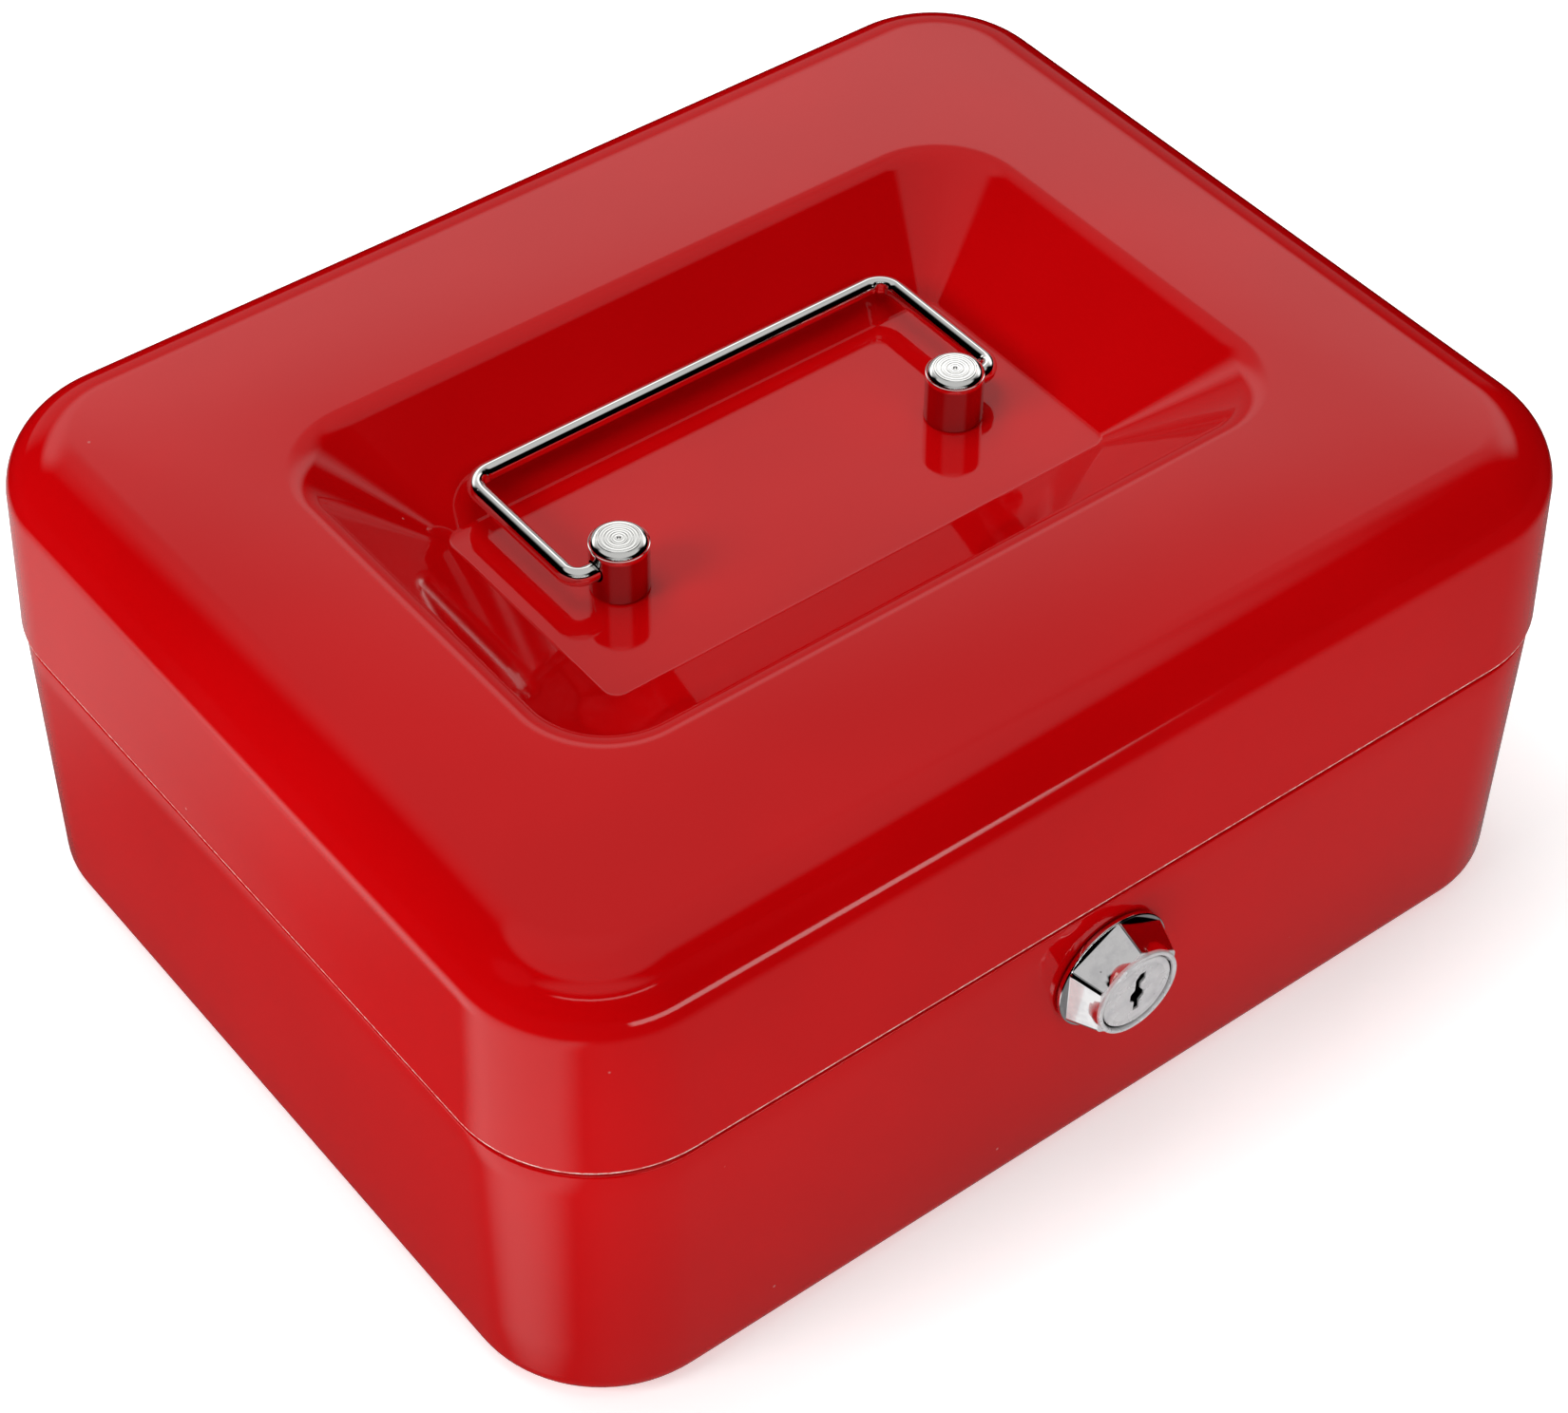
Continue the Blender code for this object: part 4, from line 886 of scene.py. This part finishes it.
def cup_tool(name, low, high, floor_z, top_z):
    """A pocket with round corners, a round foot and a rounded lip."""
    half = Vector(((high[0] - low[0]) / 2, (high[1] - low[1]) / 2))
    middle = ((high[0] + low[0]) / 2, (high[1] + low[1]) / 2)
    rows = [(CUP_FOOT * (1 - math.sin(a)), floor_z + CUP_FOOT * (1 - math.cos(a)))
            for a in (QUARTER_TURN * i / 8 for i in range(9))]
    rows += [(-CUP_LIP * (1 - math.cos(a)), top_z - CUP_LIP + CUP_LIP * math.sin(a))
             for a in (QUARTER_TURN * i / 6 for i in range(7))]
    rows.append((-CUP_LIP, top_z + 0.002))
    rings = [rounded_ring(half.x - inset, half.y - inset, CUP_CORNER - inset, z, middle[1], middle[0])
             for inset, z in rows]
    return skin(name, rings, [PLASTIC], cap_start=True, cap_end=True)


def add_tray():
    bottom, top_z = TRAY_LOW.z, TRAY_HIGH.z
    flange_z = top_z - TRAY_FLANGE_THICKNESS
    centre_y = (TRAY_FRONT_Y + TRAY_REAR_Y) / 2
    half_y = (TRAY_REAR_Y - TRAY_FRONT_Y) / 2
    flange_x = TRAY_HIGH.x
    out = []
    for i in range(7):
        angle = QUARTER_TURN * i / 6
        tuck = TRAY_DRAFT + TRAY_FOOT * (1 - math.sin(angle))
        out.append((TRAY_HALF_WIDTH - tuck, half_y - tuck, TRAY_CORNER - tuck,
                    bottom + TRAY_FOOT * (1 - math.cos(angle))))
    out.append((TRAY_HALF_WIDTH, half_y, TRAY_CORNER, flange_z))
    lip = TRAY_FLANGE_THICKNESS / 2
    for x, z in arc_points((-lip, flange_z + lip), lip, -QUARTER_TURN, QUARTER_TURN, 10):
        out.append((flange_x + x, half_y + TRAY_FLANGE_OUT_Y + x, TRAY_CORNER + TRAY_FLANGE_OUT_Y + x, z))
    tray = skin("tray_moulding", [rounded_ring(a, b, r, z, centre_y) for a, b, r, z in out], [PLASTIC],
                cap_start=True, cap_end=True)
    inner_x = TRAY_HALF_WIDTH - TRAY_DRAFT - TRAY_WALL
    front_y = TRAY_FRONT_Y + TRAY_DRAFT + TRAY_WALL
    rear_y = TRAY_REAR_Y - TRAY_DRAFT - TRAY_WALL
    floor_z = bottom + TRAY_FLOOR
    pitch = (2 * inner_x + TRAY_WALL) / TRAY_CUPS
    tools = [cup_tool(f"cup_{i}", (-inner_x + i * pitch, front_y),
                      (-inner_x + (i + 1) * pitch - TRAY_WALL, TRAY_DIVIDER_Y), floor_z, top_z)
             for i in range(TRAY_CUPS)]
    tools.append(cup_tool("note_cup", (-inner_x, TRAY_DIVIDER_Y + TRAY_WALL), (inner_x, rear_y),
                          floor_z, top_z))
    for side in (-1, 1):
        edge = side * (NOTCH_RADIUS + TRAY_HALF_WIDTH)
        tools.append(rod("notch", (edge, centre_y, flange_z - 0.001), (edge, centre_y, top_z + 0.001),
                         NOTCH_RADIUS))
    keep(cut(tray, *tools), "tray", "black_plastic", "coin_tray")


# ---------------------------------------------------------------- small steel and brass pieces

def softened(node, body, slot, material, width):
    """A CAD node's shape with its sharp edges broken."""
    bm = bmesh.new()
    bm.from_mesh(NODES[node].data)
    bmesh.ops.remove_doubles(bm, verts=bm.verts, dist=0.000005)
    bmesh.ops.dissolve_limit(bm, angle_limit=math.radians(1), verts=bm.verts, edges=bm.edges)
    piece = link(node + "_softened", finished(bm, node + "_softened"), material)
    keep(bevel(piece, width), body, slot, node)


def add_small_pieces():
    for node, width in (("lock_nut", 0.0003), ("lock_cam", 0.00025), ("cam_screw", 0.00012),
                        ("cam_washer", 0.0001), ("lock_strike", 0.00025),
                        ("post_washer_left", 0.00015), ("post_washer_right", 0.00015)):
        softened(node, NODES[node]["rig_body"], "zinc_steel", ZINC, width)
    for index in range(1, 5):
        node = f"lock_wafer_{index}"
        softened(node, NODES[node]["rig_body"], "brass", BRASS, 0.00008)


# ---------------------------------------------------------------- studio

CAMERA_PLACE = Vector((-0.26855, -0.33822, 0.46172))
CAMERA_AXES = (Vector((0.78938, -0.61379, 0.01202)), Vector((0.42785, 0.56408, 0.70623)),
               Vector((-0.44025, -0.55234, 0.70788)))
CAMERA_LENS = 86.73
BACKDROP_REACH = 2.6

# Glows in the surroundings: strengths, and the sines of the heights their edges fade between
CEILING_EDGE = (0.79, 0.86)
CEILING_GLOW = 0.55
REAR_EDGE = (0.42, 0.56)
REAR_GLOW_HIGH, REAR_GLOW_LOW = 0.50, 1.40
REAR_FOOT_GLOW = 0.32
TABLE_EDGE = (-0.46, -0.60)
TABLE_GLOW = 0.12
TABLE_LEFT_GLOW = 0.38
FAR_LEFT_GLOW = 0.85
CAMERA_SIDE_GLOW = 0.5
STREAK_GLOW = 4.6
CORNER_STREAK_GLOW = 3.2
GLOW_TINT = (1.0, 0.995, 0.985)

# Soft boxes: name, place, width, power
SOFT_BOXES = (("overhead", (-0.15, 0.30, 1.20), 0.90, 4.6),
              ("left", (-1.10, 0.10, 0.80), 0.60, 7.2),
              ("front", (0.20, -1.10, 0.70), 0.60, 2.2))


def add_camera():
    data = bpy.data.cameras.new("camera")
    data.lens = CAMERA_LENS
    data.clip_start = 0.01
    camera = bpy.data.objects.new("camera", data)
    axes = Matrix(CAMERA_AXES).transposed()
    camera.matrix_world = Matrix.Translation(CAMERA_PLACE) @ axes.to_4x4()
    bpy.context.scene.collection.objects.link(camera)
    bpy.context.scene.camera = camera


def add_floor():
    bm = bmesh.new()
    bmesh.ops.create_grid(bm, x_segments=8, y_segments=8, size=3.0)
    floor = link("studio_floor", finished(bm, "studio_floor"), paper_with_painted_glow_and_shadow())
    floor.location.z = -0.0002
    floor.visible_glossy = False
    around = [rounded_ring(BACKDROP_REACH, BACKDROP_REACH, BACKDROP_REACH * 0.98, z) for z in (-0.01, 2.5)]
    backdrop = skin("studio_backdrop", around, [paper_with_painted_glow_and_shadow()])
    backdrop.visible_glossy = backdrop.visible_diffuse = backdrop.visible_shadow = False


def add_sky():
    """What the gloss shows: a broad pale ceiling, a bright rear, a dark horizon and a dim table below."""
    world = bpy.data.worlds.new("studio")
    bpy.context.scene.world = world
    world.use_nodes = True
    tree = world.node_tree
    background = tree.nodes["Background"]

    def add(kind, inputs=(), **settings):
        node = tree.nodes.new(kind)
        for key, value in settings.items():
            setattr(node, key, value)
        for key, value in dict(inputs).items():
            if isinstance(value, bpy.types.NodeSocket):
                tree.links.new(value, node.inputs[key])
            else:
                node.inputs[key].default_value = value
        return node

    def math_node(operation, first, second):
        return add("ShaderNodeMath", {0: first, 1: second}, operation=operation).outputs["Value"]

    def ramp(value, low, high, out_low, out_high):
        ends = {"Value": value, "From Min": low, "From Max": high, "To Min": out_low, "To Max": out_high}
        return add("ShaderNodeMapRange", ends, interpolation_type="SMOOTHSTEP").outputs["Result"]

    way = add("ShaderNodeTexCoord").outputs["Generated"]
    height = add("ShaderNodeSeparateXYZ", {"Vector": way}).outputs["Z"]

    def toward(azimuth, low, high):
        """One within a sector about an azimuth (from +Y towards +X), zero outside it."""
        axis = (math.sin(azimuth), math.cos(azimuth), 0.0)
        near = add("ShaderNodeVectorMath", {0: way, 1: axis}, operation="DOT_PRODUCT").outputs["Value"]
        return ramp(near, low, high, 0.0, 1.0)

    def product(*values):
        found = values[0]
        for value in values[1:]:
            found = math_node("MULTIPLY", found, value)
        return found

    overhead = ramp(height, *CEILING_EDGE, 0.0, CEILING_GLOW)
    below_ceiling = ramp(height, *reversed(CEILING_EDGE), 0.0, 1.0)
    rear = product(toward(math.radians(35), 0.35, 0.60), below_ceiling,
                   ramp(height, 0.72, 0.60, REAR_GLOW_HIGH, REAR_GLOW_LOW), ramp(height, *REAR_EDGE, 0.0, 1.0))
    rear_low = product(toward(math.radians(25), 0.74, 0.88),
                       ramp(height, *reversed(REAR_EDGE), 0.0, REAR_FOOT_GLOW),
                       ramp(height, 0.02, 0.10, 0.0, 1.0))
    table = product(ramp(height, -0.46, -0.66, 0.0, TABLE_GLOW),
                    math_node("ADD", toward(math.radians(140), -0.2, 0.3), 0.8))
    table_left = product(toward(math.radians(-20), 0.45, 0.65), ramp(height, -0.73, -0.66, 0.0, TABLE_LEFT_GLOW),
                         ramp(height, *TABLE_EDGE, 0.0, 1.0))
    far_left = product(toward(math.radians(-88), 0.45, 0.62), ramp(height, *TABLE_EDGE, 0.0, FAR_LEFT_GLOW))
    camera_side = product(toward(math.radians(215), 0.45, 0.65),
                          ramp(height, 0.58, 0.68, 0.0, CAMERA_SIDE_GLOW), below_ceiling)
    streak = product(toward(math.radians(172), 0.90, 0.93), ramp(height, -0.25, -0.22, 0.0, STREAK_GLOW),
                     ramp(height, -0.11, -0.14, 0.0, 1.0))
    corner_streak = product(toward(math.radians(207), 0.66, 0.74),
                            ramp(height, 0.500, 0.515, 0.0, CORNER_STREAK_GLOW),
                            ramp(height, 0.545, 0.530, 0.0, 1.0))
    total = overhead
    for glow in (rear, rear_low, table, table_left, far_left, camera_side, streak, corner_streak):
        total = math_node("ADD", total, glow)
    tree.links.new(total, background.inputs["Strength"])
    background.inputs["Color"].default_value = color(*GLOW_TINT)
    bpy.context.scene.view_settings.view_transform = "Standard"


def add_lights():
    """Soft boxes that light the paint but don't show in it."""
    for name, place, size, power in SOFT_BOXES:
        data = bpy.data.lights.new(name, "AREA")
        data.shape = "DISK"
        data.size = size
        data.energy = power
        light = bpy.data.objects.new(name, data)
        light.location = place
        light.rotation_euler = (Vector(place) * -1).to_track_quat("-Z", "Y").to_euler()
        light.visible_glossy = False
        bpy.context.scene.collection.objects.link(light)


keep(make_lid(), "lid", "red_paint", "lid_shell")
keep(make_body(), "box", "red_paint", "box_body")
add_hinge()
add_posts()
add_bail()
add_lock()
add_tray()
add_small_pieces()
add_camera()
add_floor()
add_sky()
add_lights()
